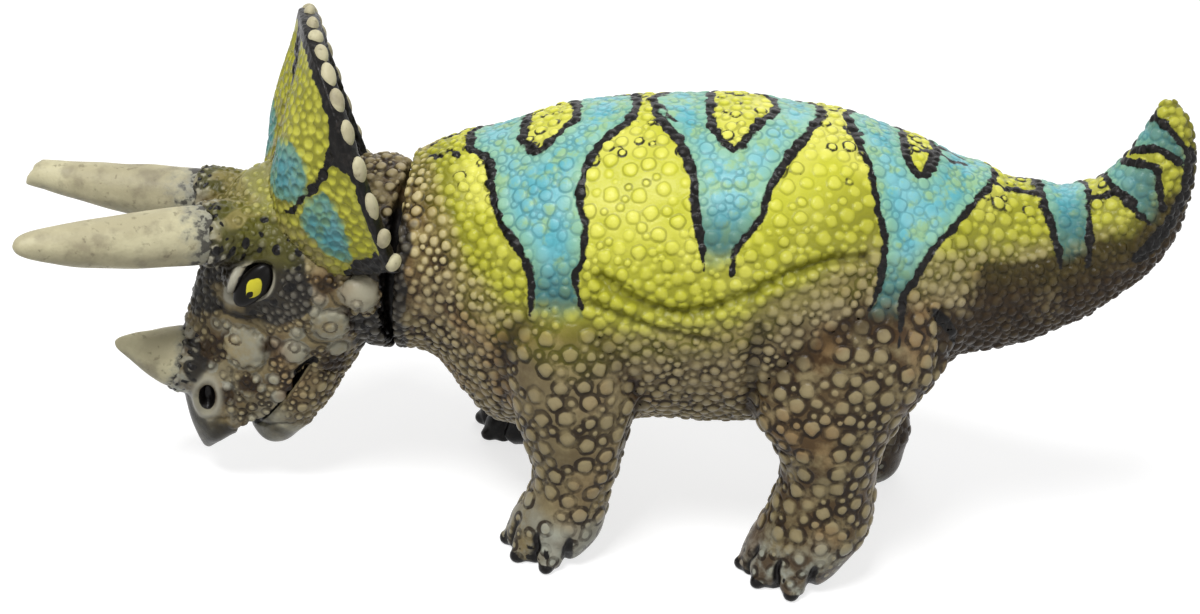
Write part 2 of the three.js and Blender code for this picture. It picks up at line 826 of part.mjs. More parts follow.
// Finishes
const skinFinish = { color: 0x9a8b79, roughness: 0.55, metalness: 0 };
const backFinish = { color: 0xd2d64a, roughness: 0.5, metalness: 0 };
const tailFinish = { color: 0xc3c94b, roughness: 0.5, metalness: 0 };
const headFinish = { color: 0x8d8276, roughness: 0.55, metalness: 0 };
const frillFinish = { color: 0xb9c33f, roughness: 0.5, metalness: 0 };
const hornFinish = { color: 0xcfc9a8, roughness: 0.45, metalness: 0 };
const eyeFinish = { color: 0x1c1a18, roughness: 0.15, metalness: 0 };
const studFinish = { color: 0xd8d4c4, roughness: 0.4, metalness: 0 };

// The figure
function figure() {
  const group = new THREE.Group();
  const left = -1;
  const right = 1;
  group.add(
    piece('trunk', trunk(), backFinish),
    piece('tail', tail(), tailFinish),
    piece('front_left_leg', legForm(frontLeg, frontLegShares, left), skinFinish),
    piece('front_right_leg', legForm(frontLeg, frontLegShares, right), skinFinish),
    piece('hind_left_leg', legForm(hindLeg, hindLegShares, left), skinFinish),
    piece('hind_right_leg', legForm(hindLeg, hindLegShares, right), skinFinish),
    piece('neck_ball', neckBall(), studFinish),
  );
  const headGroup = new THREE.Group();
  headGroup.position.copy(neckMiddle);
  headGroup.rotation.z = headTurn;
  headGroup.add(
    piece('head', head(), headFinish),
    piece('lower_jaw', lowerJaw(), headFinish),
    piece('frill', frill(), frillFinish),
    piece('left_eye', eyeBead(left, 0), eyeFinish),
    piece('right_eye', eyeBead(right, 0), eyeFinish),
  );
  for (const [name, line] of Object.entries(hornLines)) {
    headGroup.add(piece(name, hornForm(line), hornFinish));
  }
  group.add(headGroup);
  return group;
}

// The origin is on the floor, under the middle of the whole figure.
const model = figure();
model.updateMatrixWorld(true);
const box = new THREE.Box3().setFromObject(model, true);
const middle = box.getCenter(new THREE.Vector3());
const standing = new THREE.Group();
model.position.set(-middle.x, -middle.y, -box.min.z);
standing.add(model);

export default standing;
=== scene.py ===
# Painted soft-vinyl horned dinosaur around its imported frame.
# Metres in Blender; the shapes are worked out in millimetres from the floor under the neck's ball,
# x to the tail, y to the right side, z up. The figure heads along -X.
import math
import json
import bpy
import numpy as np
from mathutils import Matrix, Vector


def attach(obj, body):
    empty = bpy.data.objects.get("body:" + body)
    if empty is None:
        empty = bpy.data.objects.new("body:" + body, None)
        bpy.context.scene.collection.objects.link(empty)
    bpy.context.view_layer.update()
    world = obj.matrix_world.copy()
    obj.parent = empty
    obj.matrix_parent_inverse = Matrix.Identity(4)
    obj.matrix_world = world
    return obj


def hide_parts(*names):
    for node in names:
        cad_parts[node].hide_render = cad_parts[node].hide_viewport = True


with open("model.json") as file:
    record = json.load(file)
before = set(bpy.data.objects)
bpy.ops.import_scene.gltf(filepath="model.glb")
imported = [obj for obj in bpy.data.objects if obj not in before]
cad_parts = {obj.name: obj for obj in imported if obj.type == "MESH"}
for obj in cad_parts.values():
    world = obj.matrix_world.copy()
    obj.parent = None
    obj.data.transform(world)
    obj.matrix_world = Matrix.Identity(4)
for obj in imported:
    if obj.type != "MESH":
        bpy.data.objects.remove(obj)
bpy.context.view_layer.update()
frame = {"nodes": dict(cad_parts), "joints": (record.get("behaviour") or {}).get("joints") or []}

# Forms

neck = {
    "height": 64.7,      # the ball's middle above the floor
    "radius": 25.2,
    "rim": 4.0,          # where the trunk's neck ends, behind the ball's middle
    "socket": 20.0,      # the hollow in the trunk's neck
    "ball": 19.5,        # the head's part that fills it
    "turn": 15.0,        # degrees that the head looks to the left at rest
    "limit": 21.5,       # degrees of the V behind the head's neck
}
trunkRows = [
    # x, middle height, half depth, half width
    (9.5, 66.1, 26.5, 24.8),
    (15.5, 66.5, 29.1, 26.1),
    (22.5, 63.3, 34.6, 28.5),
    (29.6, 62.3, 39.0, 31.5),
    (39.5, 64.0, 41.5, 34.0),
    (53.5, 67.2, 41.8, 36.0),
    (67.4, 70.2, 41.2, 36.5),
    (81.5, 71.5, 41.4, 36.5),
    (95.6, 72.3, 40.5, 36.0),
    (107.5, 72.9, 38.8, 34.5),
    (118.5, 72.9, 36.6, 32.0),
    (128.4, 73.6, 33.2, 28.5),
    (136.5, 75.7, 28.2, 25.0),
    (143.5, 78.8, 24.0, 21.5),
]
tailRows = [
    # x, middle height, share of the thickness at the seam
    (143.5, 78.8, 1.00),
    (151.4, 79.5, 0.90),
    (160.1, 82.1, 0.80),
    (168.9, 85.6, 0.68),
    (177.1, 92.3, 0.56),
    (181.6, 100.1, 0.45),
    (183.8, 108.7, 0.345),
    (184.0, 116.0, 0.25),
    (182.8, 122.0, 0.145),
    (182.1, 125.0, 0.05),
]
tailSeam = {"x": 143.5, "halfDepth": 24.0, "halfWidth": 21.5}
frontLegRows = [
    # height, shift to the rear, half girth, half breadth, spread from the middle
    (0.0, -2.99, 8.5, 9.3, 28.6),
    (3.0, -2.52, 10.5, 11.4, 28.6),
    (8.0, -0.85, 11.5, 11.9, 28.6),
    (14.0, 0.85, 10.5, 11.0, 28.3),
    (20.0, 1.70, 9.7, 10.6, 28.2),
    (28.0, 2.01, 12.0, 11.4, 28.0),
    (36.0, 1.02, 14.5, 12.4, 27.2),
    (46.0, -0.51, 16.5, 13.5, 26.0),
    (58.0, -2.01, 17.0, 14.0, 24.5),
    (68.0, -2.01, 14.5, 13.0, 22.9),
    (76.0, -1.02, 9.0, 9.3, 20.4),
]
hindLegRows = [
    (0.0, -5.17, 10.0, 9.5, 28.0),
    (3.0, -4.14, 12.2, 11.5, 28.0),
    (8.0, -2.11, 13.0, 12.3, 28.0),
    (14.0, 0.70, 13.3, 11.8, 28.0),
    (20.0, 1.97, 12.7, 11.0, 27.9),
    (29.0, 2.26, 11.8, 11.0, 27.4),
    (37.0, 0.85, 13.5, 12.5, 27.0),
    (46.0, -1.18, 19.0, 14.0, 25.5),
    (60.0, 2.02, 23.5, 15.0, 23.5),
    (72.0, 4.00, 21.0, 14.0, 21.0),
    (82.0, 4.98, 14.0, 10.5, 18.0),
]
legs = {
    # side: -1 is the left; stride: how far the foot is behind the hip
    "front_left_leg": {"rows": frontLegRows, "x": 49.5, "side": -1, "stride": 0.0},
    "front_right_leg": {"rows": frontLegRows, "x": 49.5, "side": 1, "stride": -12.5},
    "hind_left_leg": {"rows": hindLegRows, "x": 111.5, "side": -1, "stride": 0.0},
    "hind_right_leg": {"rows": hindLegRows, "x": 111.5, "side": 1, "stride": 23.0},
}
stridePower = 1.7
foot = {
    "toeTurns": (-38, 4, 44, 84),      # degrees from straight ahead
    "toe": (11.6, 9.8, 10.0), "claw": (5.6, 4.4, 4.2),      # length, width, height
    "reach": 1.2,                      # how far a toe stands out from the foot
    "clawBack": 1.4, "clawHeight": 2.0, "clawDrop": 0.4,
    "split": (4.6, 1.5),               # from a claw's middle to the split beside it, and back
}


# Catmull-Rom through the rows: p(t) = p1 + v0 t + (3(p2-p1) - 2v0 - v1) t^2 + (2(p1-p2) + v0 + v1) t^3,
# with v0 = (p2-p0)/2 and v1 = (p3-p1)/2.
def smoothRows(rows, steps):
    rows = np.asarray(rows, float)
    place = np.linspace(0, len(rows) - 1, (len(rows) - 1) * steps + 1)
    first = np.minimum(place.astype(int), len(rows) - 2)
    t = (place - first)[:, None]
    p0 = rows[np.maximum(first - 1, 0)]
    p1 = rows[first]
    p2 = rows[first + 1]
    p3 = rows[np.minimum(first + 2, len(rows) - 1)]
    v0 = (p2 - p0) / 2
    v1 = (p3 - p1) / 2
    return p1 + v0 * t + (3 * (p2 - p1) - 2 * v0 - v1) * t ** 2 + (2 * (p1 - p2) + v0 + v1) * t ** 3


# A grid of rings: point = middle + across cos(a) (1 - taper sin(a)) + up sin(a), a from 0 to 2 pi.
def sweep(middles, across, up, sides, taper=0.0):
    angle = np.linspace(0, 2 * np.pi, sides, endpoint=False)
    wide = (np.cos(angle) * (1 - taper * np.sin(angle)))[None, :, None]
    high = np.sin(angle)[None, :, None]
    return middles[:, None, :] + across[:, None, :] * wide + up[:, None, :] * high


# Points and quads of a grid of rings, with a fan of triangles over each end.
def closeGrid(grid):
    count, sides, _ = grid.shape
    points = np.concatenate([grid.reshape(-1, 3), grid[:1].mean(1), grid[-1:].mean(1)])
    k = np.arange(sides)
    n = (k + 1) % sides
    rows = np.arange(count - 1)[:, None] * sides
    quads = np.stack([rows + k, rows + n, rows + sides + n, rows + sides + k], -1).reshape(-1, 4)
    last = (count - 1) * sides
    startFan = np.stack([np.full(sides, count * sides), n, k], -1)
    endFan = np.stack([np.full(sides, count * sides + 1), last + k, last + n], -1)
    return points, quads, np.concatenate([startFan, endFan])


# Ellipses along x from the bottom of the neck's hollow, out over its rim and back to the tail's seam.
# The hollow is a sphere: radius = sqrt(socket^2 - x^2).
def trunkGrid(sides=120, steps=10):
    hollow = np.linspace(neck["socket"] - 0.05, neck["rim"] + 0.6, 14)
    radii = [math.sqrt(neck["socket"] ** 2 - x * x) for x in hollow]
    inner = [(x, neck["height"], r, r) for x, r in zip(hollow, radii)]
    lip = [(neck["rim"], neck["height"], neck["radius"] - r, neck["radius"] - r) for r in (4.4, 2.6, 0.9)]
    edge = [(neck["rim"] + 0.5, neck["height"], neck["radius"] - 0.1, neck["radius"] - 0.1)]
    start = [(neck["rim"] + 1.2, neck["height"], neck["radius"], neck["radius"])]
    outer = smoothRows(start + trunkRows, steps)
    table = np.concatenate([inner, lip, edge, outer])
    middles = np.stack([table[:, 0], 0 * table[:, 0], table[:, 1]], 1)
    across = np.stack([0 * table[:, 0], table[:, 3], 0 * table[:, 0]], 1)
    up = np.stack([0 * table[:, 0], 0 * table[:, 0], table[:, 2]], 1)
    return sweep(middles, across, up, sides)


# The tail's middle line and the direction square to it: x, z, share, up x, up z.
def tailLine(steps=12):
    line = smoothRows(tailRows, steps)
    ahead = np.gradient(line[:, :2], axis=0)
    slope = np.arctan2(ahead[:, 1], ahead[:, 0])
    slope[0] = 0
    return line, np.stack([-np.sin(slope), np.cos(slope)], 1)


# Ellipses square to the tail's line, from two hidden rings inside the rump: half sizes = share times those
# at the seam.
def tailGrid(sides=90):
    line, normal = tailLine()
    zero = 0 * line[:, 0]
    middles = np.stack([line[:, 0], zero, line[:, 1]], 1)
    start = np.stack([[tailSeam["x"] - 8, 0, line[0, 1]], [tailSeam["x"] - 4, 0, line[0, 1]]])
    share = np.concatenate([[0.5, 0.9], line[:, 2]])
    middles = np.concatenate([start, middles])
    normal = np.concatenate([[[0, 1], [0, 1]], normal])
    across = np.stack([0 * share, share * tailSeam["halfWidth"], 0 * share], 1)
    up = np.stack([normal[:, 0], 0 * share, normal[:, 1]], 1) * (share * tailSeam["halfDepth"])[:, None]
    return sweep(middles, across, up, sides)


# The leg's middle and half sizes at a height, with the stride gathered toward the foot.
def legTable(leg, height):
    rows = smoothRows(leg["rows"], 8)
    tall = rows[-1, 0]
    columns = [np.interp(height, rows[:, 0], rows[:, c]) for c in range(1, 5)]
    stride = leg["stride"] * (1 - np.clip(height / tall, 0, 1)) ** stridePower
    return leg["x"] + columns[0] + stride, leg["side"] * columns[3], columns[1], columns[2]


# Level ellipses up the leg: middle and half sizes from the leg's table at each height.
def legGrid(leg, sides=72):
    height = smoothRows(leg["rows"], 6)[:, 0]
    height = np.maximum.accumulate(height)
    x, y, girth, breadth = legTable(leg, height)
    middles = np.stack([x, y, height], 1)
    across = np.stack([girth, 0 * x, 0 * x], 1)
    up = np.stack([0 * x, breadth, 0 * x], 1)
    return sweep(middles, across, up, sides)


# An ellipsoid: place + sum of directions times half sizes times a unit sphere's point.
def eggGrid(sizes, place, directions, sides=28):
    polar = np.linspace(0.02, np.pi - 0.02, sides // 2 + 1)
    turn = np.linspace(0, 2 * np.pi, sides, endpoint=False)
    unit = np.stack([
        np.sin(polar)[:, None] * np.cos(turn),
        np.sin(polar)[:, None] * np.sin(turn),
        np.cos(polar)[:, None] + 0 * turn,
    ], -1)
    basis = np.asarray(directions, float) * (np.asarray(sizes, float) / 2)[:, None]
    return np.asarray(place, float) + unit @ basis


# A foot's middle on the floor, its row of half sizes, and the directions of its toes.
def toeRays(leg):
    rows = np.asarray(leg["rows"][2])
    middle = np.array([leg["x"] + rows[1] + leg["stride"], leg["side"] * rows[4], 0])
    turns = [math.radians(turn) for turn in foot["toeTurns"]]
    return middle, rows, [np.array([-math.cos(turn), leg["side"] * math.sin(turn), 0]) for turn in turns]


# Ellipsoids for the toes and claws. A toe's middle lies out from the foot's by its half size there, less
# half the toe's length, plus the reach.
def toeGrids(leg):
    middle, rows, rays = toeRays(leg)
    grids = []
    for ahead in rays:
        place = middle.copy()
        place[0] += ahead[0] * (rows[2] - foot["toe"][0] / 2 + foot["reach"])
        place[1] += ahead[1] * (rows[3] - foot["toe"][0] / 2 + foot["reach"])
        place[2] = foot["toe"][2] * 3 / 8
        grids.append(eggGrid(foot["toe"], place, [ahead, (-ahead[1], ahead[0], 0), (0, 0, 1)]))
    for place, ahead in clawPlaces(leg):
        low = place - (0, 0, foot["clawDrop"])
        grids.append(eggGrid(foot["claw"], low, [ahead, (-ahead[1], ahead[0], 0), (0, 0, 1)], 20))
    return grids


# Each claw's middle and direction.
def clawPlaces(leg):
    middle, rows, rays = toeRays(leg)
    places = []
    for ahead in rays:
        place = middle.copy()
        place[0] += ahead[0] * (rows[2] + foot["reach"] - foot["clawBack"])
        place[1] += ahead[1] * (rows[3] + foot["reach"] - foot["clawBack"])
        place[2] = foot["clawHeight"]
        places.append((place, ahead))
    return places


# Share of the splits between the toes: narrow grooves on both sides of each claw that run up the foot.
def toeSplits(points, noise, wide, reach):
    share = np.zeros(len(points))
    for leg in legs.values():
        for place, ahead in clawPlaces(leg):
            side = np.array([-ahead[1], ahead[0], 0])
            split = place + side * foot["split"][0] - ahead * foot["split"][1]
            away = np.linalg.norm(points - split, axis=1)
            across = (points - split) @ side + 0.5 * noise
            share = np.maximum(share, np.exp(-(across / wide) ** 2) * smoothStep(reach, reach * 0.5, away))
    return share


# Place on the body: t runs along the trunk (its x) and on along the tail's middle line, phi is the angle
# round it from the spine (0) to the belly (pi), and r is the mean radius there.
def bodyPlace(points):
    line, normal = tailLine(24)
    run = np.concatenate([[0], np.cumsum(np.hypot(*np.diff(line[:, :2], axis=0).T))])
    trunk = smoothRows([(0, neck["height"], neck["radius"], neck["radius"])] + trunkRows, 12)
    x, y, z = points.T
    t = x.copy()
    rise = z - np.interp(x, trunk[:, 0], trunk[:, 1])
    r = np.interp(x, trunk[:, 0], (trunk[:, 2] + trunk[:, 3]) / 2)
    far = np.flatnonzero(x > tailSeam["x"])
    for part in np.array_split(far, max(1, len(far) // 20000)):
        gap = (x[part, None] - line[:, 0]) ** 2 + (z[part, None] - line[:, 1]) ** 2
        near = gap.argmin(1)
        t[part] = tailSeam["x"] + run[near]
        dx, dz = x[part] - line[near, 0], z[part] - line[near, 1]
        rise[part] = dx * normal[near, 0] + dz * normal[near, 1]
        r[part] = line[near, 2] * (tailSeam["halfDepth"] + tailSeam["halfWidth"]) / 2
    return t, np.arctan2(np.abs(y), rise), r


# Signed distances in millimetres, below zero inside: to the trunk's form, and to the nearest leg's with its
# number. Distance = (share - 1) * mean half size, where share is the way out to the ellipse.
def partDistances(points):
    trunk = smoothRows([(0, neck["height"], neck["radius"], neck["radius"])] + trunkRows, 12)
    x, y, z = points.T
    middle, deep, wide = (np.interp(x, trunk[:, 0], trunk[:, c]) for c in (1, 2, 3))
    share = np.hypot((z - middle) / deep, y / wide)
    toTrunk = (share - 1) * (deep + wide) / 2
    toLeg = np.full(len(points), 99.0)
    which = np.full(len(points), -1)
    for number, leg in enumerate(legs.values()):
        cx, cy, girth, breadth = legTable(leg, z)
        share = np.hypot((x - cx) / girth, (y - cy) / breadth)
        gap = np.where(z > leg["rows"][-1][0], 99.0, (share - 1) * (girth + breadth) / 2)
        which = np.where(gap < toLeg, number, which)
        toLeg = np.minimum(toLeg, gap)
    return toTrunk, toLeg, which


# Head forms

# The head's own frame: u ahead, v to its left, w up, from the middle of the neck's ball.
skullRows = [
    # along the muzzle, lower edge, upper edge, half width
    (-4.0, 12.0, 38.0, 12.0),
    (2.0, 6.0, 41.2, 19.0),
    (9.0, 0.0, 42.2, 23.0),
    (17.0, -5.0, 41.0, 22.0),
    (26.0, -7.0, 38.6, 18.5),
    (35.0, -7.4, 36.6, 16.0),
    (45.0, -7.0, 33.6, 13.5),
    (53.0, -3.0, 29.6, 11.4),
    (60.0, 6.0, 25.0, 9.4),
    (66.0, 9.6, 19.5, 6.6),
    (71.2, 11.0, 13.4, 2.0),
]
jawRows = [
    (32.3, -7.2, 14.0, 14.6),
    (40.5, -7.6, 13.0, 14.8),
    (48.8, -7.2, 11.0, 13.0),
    (56.1, -5.6, 7.6, 10.2),
    (59.6, -3.6, 5.6, 7.4),
    (60.9, -2.2, 4.2, 4.4),
]
muzzle = {"pitch": 61.0, "crownTaper": 0.3, "mouth": 6.2, "jawRoot": 32.0}
horns = {
    # root and direction in the head's frame, length, root radius, how far the middle bows down
    "left_brow_horn": {"root": (45.8, 10.7, 7.8), "splay": 15.0, "lift": 2.5, "length": 45.0, "radius": 7.2,
                       "bow": 0.6},
    "right_brow_horn": {"root": (45.8, -10.7, 7.8), "splay": -15.0, "lift": 2.5, "length": 43.0, "radius": 7.2,
                        "bow": 0.6},
    "nose_horn": {"root": (51.3, 0.0, -31.0), "splay": 0.0, "lift": 15.5, "length": 16.6, "radius": 8.0,
                  "bow": 0.4},
}
boss = {"length": 11.0, "wall": 1.1}
cheekKnob = {"s": 7.2, "t": 7.4, "out": 21.5, "radius": 5.2}
frillForm = {
    "span": 106.0,        # degrees from the top to each lower end
    "rootWidth": 20.0, "rimWidth": 33.0,
    "rootHeight": (5.0, 9.0), "rimHeight": (19.0, 41.0),      # level of the sides, rise to the top
    "rootReach": (14.0, 30.0), "rimReach": (2.8, 22.8),       # ahead at the sides, ahead at the top
    "sweepPower": 1.7, "lobe": 3.3,
    "valley": 2.0,        # how far the middle lies back between the two lobes
    "thickness": (6.0, 3.6),
}


# Head frame to figure frame: (-u, -v) turned by the head's angle, raised to the ball's middle.
def toFigure(points):
    u, v, w = points[..., 0], points[..., 1], points[..., 2]
    turn = math.radians(neck["turn"])
    c, s = math.cos(turn), math.sin(turn)
    return np.stack([-u * c + v * s, -u * s - v * c, neck["height"] + w], -1)


# A place from its distances along the muzzle, across it and to the left.
def muzzlePoint(s, t, v):
    pitch = math.radians(muzzle["pitch"])
    s, t, v = np.broadcast_arrays(*(np.asarray(value, float) for value in (s, t, v)))
    return np.stack([s * math.cos(pitch) + t * math.sin(pitch), v, -s * math.sin(pitch) + t * math.cos(pitch)],
                    -1)


# Distances along and across the muzzle of places in the head's frame.
def muzzlePlace(points):
    pitch = math.radians(muzzle["pitch"])
    u, v, w = points[..., 0], points[..., 1], points[..., 2]
    return u * math.cos(pitch) - w * math.sin(pitch), u * math.sin(pitch) + w * math.cos(pitch), v


# Ellipses along the muzzle, narrower at the crown; low and high are where the skin is cut flat.
def muzzleGrid(rows, steps, sides, taper, flatten):
    table = smoothRows(rows, steps)
    angle = np.linspace(0, 2 * np.pi, sides, endpoint=False)
    s = table[:, :1] + 0 * angle
    t = (table[:, 1:2] + table[:, 2:3]) / 2 + (table[:, 2:3] - table[:, 1:2]) / 2 * np.sin(angle)
    v = table[:, 3:4] * np.cos(angle) * (1 - taper * np.sin(angle))
    return muzzlePoint(s, flatten(s, t), v)


# Rise of the upper lip behind the beak's hook: a bell 4.4 mm high.
def mouthArch(s):
    return 4.4 * np.exp(-((s - 58.6) / 4.2) ** 2)


# The skull, cut flat along the mouth, with the arch of the upper lip.
def skullGrid():
    cut = lambda s, t: np.where(s > muzzle["jawRoot"], np.maximum(t, muzzle["mouth"] + mouthArch(s)), t)
    return muzzleGrid(skullRows, 12, 120, muzzle["crownTaper"], cut)


# The lower jaw, cut flat just under the mouth.
def jawGrid():
    return muzzleGrid(jawRows, 14, 90, 0.0, lambda s, t: np.minimum(t, muzzle["mouth"] - 0.3))


# The full neck behind the head: a ball cut back by two planes to a V, down to the smaller ball.
def neckRollGrid():
    unit = eggGrid((2, 2, 2), (0, 0, 0), np.eye(3), 150)
    limit = math.radians(neck["limit"])
    r = np.full(unit.shape[:2], neck["radius"])
    for side in (-1, 1):
        lean = -unit[..., 0] * math.cos(limit) - side * unit[..., 1] * math.sin(limit)
        r = np.where(lean > 0.05, np.minimum(r, 3.5 / np.maximum(lean, 0.05)), r)
    r = r * (1 - 0.08 * smoothStep(0.2, 0.8, unit[..., 2]))
    return unit * np.maximum(r, neck["ball"])[..., None]


# A horn's directions: ahead = (cos lift cos splay, cos lift sin splay, sin lift), level side, and up.
def hornFrame(horn):
    splay, lift = math.radians(horn["splay"]), math.radians(horn["lift"])
    ahead = np.array([math.cos(lift) * math.cos(splay), math.cos(lift) * math.sin(splay), math.sin(lift)])
    side = np.cross([0, 0, 1], ahead)
    side /= np.linalg.norm(side)
    return ahead, side, np.cross(ahead, side)


# The collar that a horn stands in: a rod from behind its root, with a round shoulder.
def bossGrid(horn, sides=60):
    ahead, side, up = hornFrame(horn)
    r = horn["radius"] + boss["wall"]
    polar = np.linspace(np.pi / 2 * 0.98, 0, 16)
    run = np.linspace(-boss["length"], 0, 24)[1:]
    place = np.concatenate([-boss["length"] - r * np.sin(polar), run, [0.7, 1.3]])
    wide = np.concatenate([r * np.cos(polar), np.full(23, r), [r - 0.3, horn["radius"] + 0.3]])
    middles = np.asarray(horn["root"]) + place[:, None] * ahead
    grid = sweep(middles, wide[:, None] * side, wide[:, None] * up, sides)
    ragged = waves(grid[-3:].reshape(-1, 3), 4.0, 91).reshape(3, sides)
    grid[-3:] += ahead * (ragged * np.array([[0.2], [0.7], [1.0]]))[..., None]
    return grid


# The fan: turn runs round it from the top, out from its root to its rim.
def frillPoint(turn, out):
    f = frillForm
    swept = 1 - np.abs(turn / math.radians(f["span"])) ** f["sweepPower"]
    mix = lambda a, b: a + (b - a) * out
    lobe = np.sin(np.pi * out) * np.sin(np.minimum(2 * np.abs(turn), np.pi)) ** 2 * f["lobe"]
    valley = np.exp(-(turn / 0.3) ** 2) * (0.35 + 0.65 * np.sin(np.pi * out)) * f["valley"]
    ahead = mix(f["rootReach"][0] + (f["rootReach"][1] - f["rootReach"][0]) * swept,
                f["rimReach"][0] + (f["rimReach"][1] - f["rimReach"][0]) * swept) + lobe - valley
    left = mix(f["rootWidth"], f["rimWidth"]) * np.sin(turn)
    rise = mix(f["rootHeight"][0] + f["rootHeight"][1] * np.cos(turn),
               f["rimHeight"][0] + f["rimHeight"][1] * np.cos(turn))
    return np.stack(np.broadcast_arrays(ahead, left, rise), -1)


# Mesh

# Object coordinates of the scene: metres, from the figure's millimetres.
def toScene(points):
    joint = frame["joints"][0]["pos_m"]
    return points / 1000 + np.array([joint[0], joint[1], 0.0])


# A mesh from arrays: points, and a list of face arrays with three or four point numbers in each row.
def makeMesh(name, points, faceArrays):
    corners = np.concatenate([faces.ravel() for faces in faceArrays]).astype(np.int32)
    sizes = np.concatenate([np.full(len(faces), faces.shape[1]) for faces in faceArrays])
    mesh = bpy.data.meshes.new(name)
    mesh.vertices.add(len(points))
    mesh.vertices.foreach_set("co", points.astype(np.float32).ravel())
    mesh.loops.add(len(corners))
    mesh.loops.foreach_set("vertex_index", corners)
    mesh.polygons.add(len(sizes))
    mesh.polygons.foreach_set("loop_start", (np.cumsum(sizes) - sizes).astype(np.int32))
    mesh.update(calc_edges=True)
    mesh.validate()
    mesh.polygons.foreach_set("use_smooth", np.ones(len(mesh.polygons), bool))
    return mesh


# An object at the origin, linked to the scene.
def addObject(name, mesh):
    thing = bpy.data.objects.new(name, mesh)
    bpy.context.scene.collection.objects.link(thing)
    return thing


# One skin round closed grids: all of them in one mesh, remeshed as a solid at a voxel size.
def fuse(grids, voxel):
    points, faceArrays, count = [], [], 0
    for grid in grids:
        own, quads, fans = closeGrid(grid)
        points.append(own)
        faceArrays += [quads + count, fans + count]
        count += len(own)
    thing = addObject("fuse", makeMesh("fuse", np.concatenate(points), faceArrays))
    remesh = thing.modifiers.new("fuse", "REMESH")
    remesh.mode = "VOXEL"
    remesh.voxel_size = voxel
    remesh.adaptivity = 0
    evaluated = thing.evaluated_get(bpy.context.evaluated_depsgraph_get())
    mesh = evaluated.to_mesh()
    skin = np.empty(len(mesh.vertices) * 3, np.float32)
    mesh.vertices.foreach_get("co", skin)
    corners = np.empty(len(mesh.loops), np.int32)
    mesh.loops.foreach_get("vertex_index", corners)
    edges = np.empty(len(mesh.edges) * 2, np.int32)
    mesh.edges.foreach_get("vertices", edges)
    evaluated.to_mesh_clear()
    bpy.data.objects.remove(thing)
    return skin.reshape(-1, 3).astype(float), corners.reshape(-1, 4), edges.reshape(-1, 2)


# Each point moves by its share towards the mean of its neighbours, again and again.
def relax(points, edges, share, rounds):
    count = len(points)
    a, b = edges.T
    reach = (share / np.bincount(edges.ravel(), minlength=count))[:, None]
    for _ in range(rounds):
        sums = [np.bincount(a, points[b, c], count) + np.bincount(b, points[a, c], count) for c in range(3)]
        points = points * (1 - share)[:, None] + np.stack(sums, 1) * reach
    return points


# A point's normal: the sum of the cross products of its quads' diagonals.
def skinNormals(points, quads):
    face = np.cross(points[quads[:, 2]] - points[quads[:, 0]], points[quads[:, 3]] - points[quads[:, 1]])
    sums = [sum(np.bincount(quads[:, k], face[:, c], len(points)) for k in range(4)) for c in range(3)]
    normals = np.stack(sums, 1)
    return normals / np.maximum(np.linalg.norm(normals, axis=1), 1e-12)[:, None]


# s^2 (3 - 2s), with s = (value - low) / (high - low) held between 0 and 1. Low may be above high.
def smoothStep(low, high, value):
    share = np.clip((value - low) / (high - low), 0, 1)
    return share * share * (3 - 2 * share)


# Smooth waves between about -1 and 1: the mean of sines that run in random directions.
def waves(points, size, seed, count=14):
    rng = np.random.default_rng(seed)
    turn = rng.normal(size=(count, 3))
    turn *= (2 * np.pi / size) / np.linalg.norm(turn, axis=1)[:, None]
    return np.sin(points @ turn.T + rng.uniform(0, 2 * np.pi, count)).mean(1) * 1.9


# Pebbles, the largest first: from places in order of radius, one is kept where no kept one lies
# nearer than share times the sum of both radii. The first few may be fixed, and are always kept.
# Kept ones are looked up by cubes of the largest size.
def scatter(places, radii, share, fixed=0):
    cube = 2 * radii.max() * share.max()
    order = np.argsort(np.where(np.arange(len(radii)) < fixed, -999, -radii), kind="stable")
    cells = np.floor(places / cube).astype(int)
    kept, table = [], {}
    around = [(i, j, k) for i in (-1, 0, 1) for j in (-1, 0, 1) for k in (-1, 0, 1)]
    rows = np.concatenate([places, radii[:, None], share[:, None]], 1).tolist()
    homes = cells.tolist()
    for number in order.tolist():
        x, y, z, r, s = rows[number]
        home = homes[number]
        clear = True
        for i, j, k in around if number >= fixed else ():
            for px, py, pz, pr in table.get((home[0] + i, home[1] + j, home[2] + k), ()):
                if (px - x) ** 2 + (py - y) ** 2 + (pz - z) ** 2 < ((pr + r) * s) ** 2:
                    clear = False
                    break
            if not clear:
                break
        if clear:
            table.setdefault(tuple(home), []).append((x, y, z, r))
            kept.append(number)
    return np.array(kept)


# For each point, the pebble whose edge is nearest: its number (-1 for none within reach) and the
# distance to that edge, below zero inside. Pebbles are looked up by cubes, 27 round each point.
def nearPebble(points, places, radii, reach):
    cube = radii.max() + reach
    low = np.minimum(points.min(0), places.min(0)) - 2 * cube
    span = np.ceil((points.max(0) - low) / cube).astype(np.int64) + 4
    number = lambda cells: (cells[:, 0] * span[1] + cells[:, 1]) * span[2] + cells[:, 2]
    homes = number(np.floor((places - low) / cube).astype(np.int64))
    order = np.argsort(homes, kind="stable")
    homes, places, radii = homes[order], places[order], radii[order]
    cells = np.floor((points - low) / cube).astype(np.int64)
    best = np.full(len(points), reach)
    found = np.full(len(points), -1)
    for i in (-1, 0, 1):
        for j in (-1, 0, 1):
            for k in (-1, 0, 1):
                key = number(cells + (i, j, k))
                start = np.searchsorted(homes, key)
                stop = np.searchsorted(homes, key, side="right")
                todo = np.flatnonzero(stop > start)
                step = 0
                while len(todo):
                    pick = start[todo] + step
                    gap = np.linalg.norm(points[todo] - places[pick], axis=1) - radii[pick]
                    better = gap < best[todo]
                    best[todo[better]] = gap[better]
                    found[todo[better]] = order[pick[better]]
                    step += 1
                    todo = todo[start[todo] + step < stop[todo]]
    return found, best


# Body paint

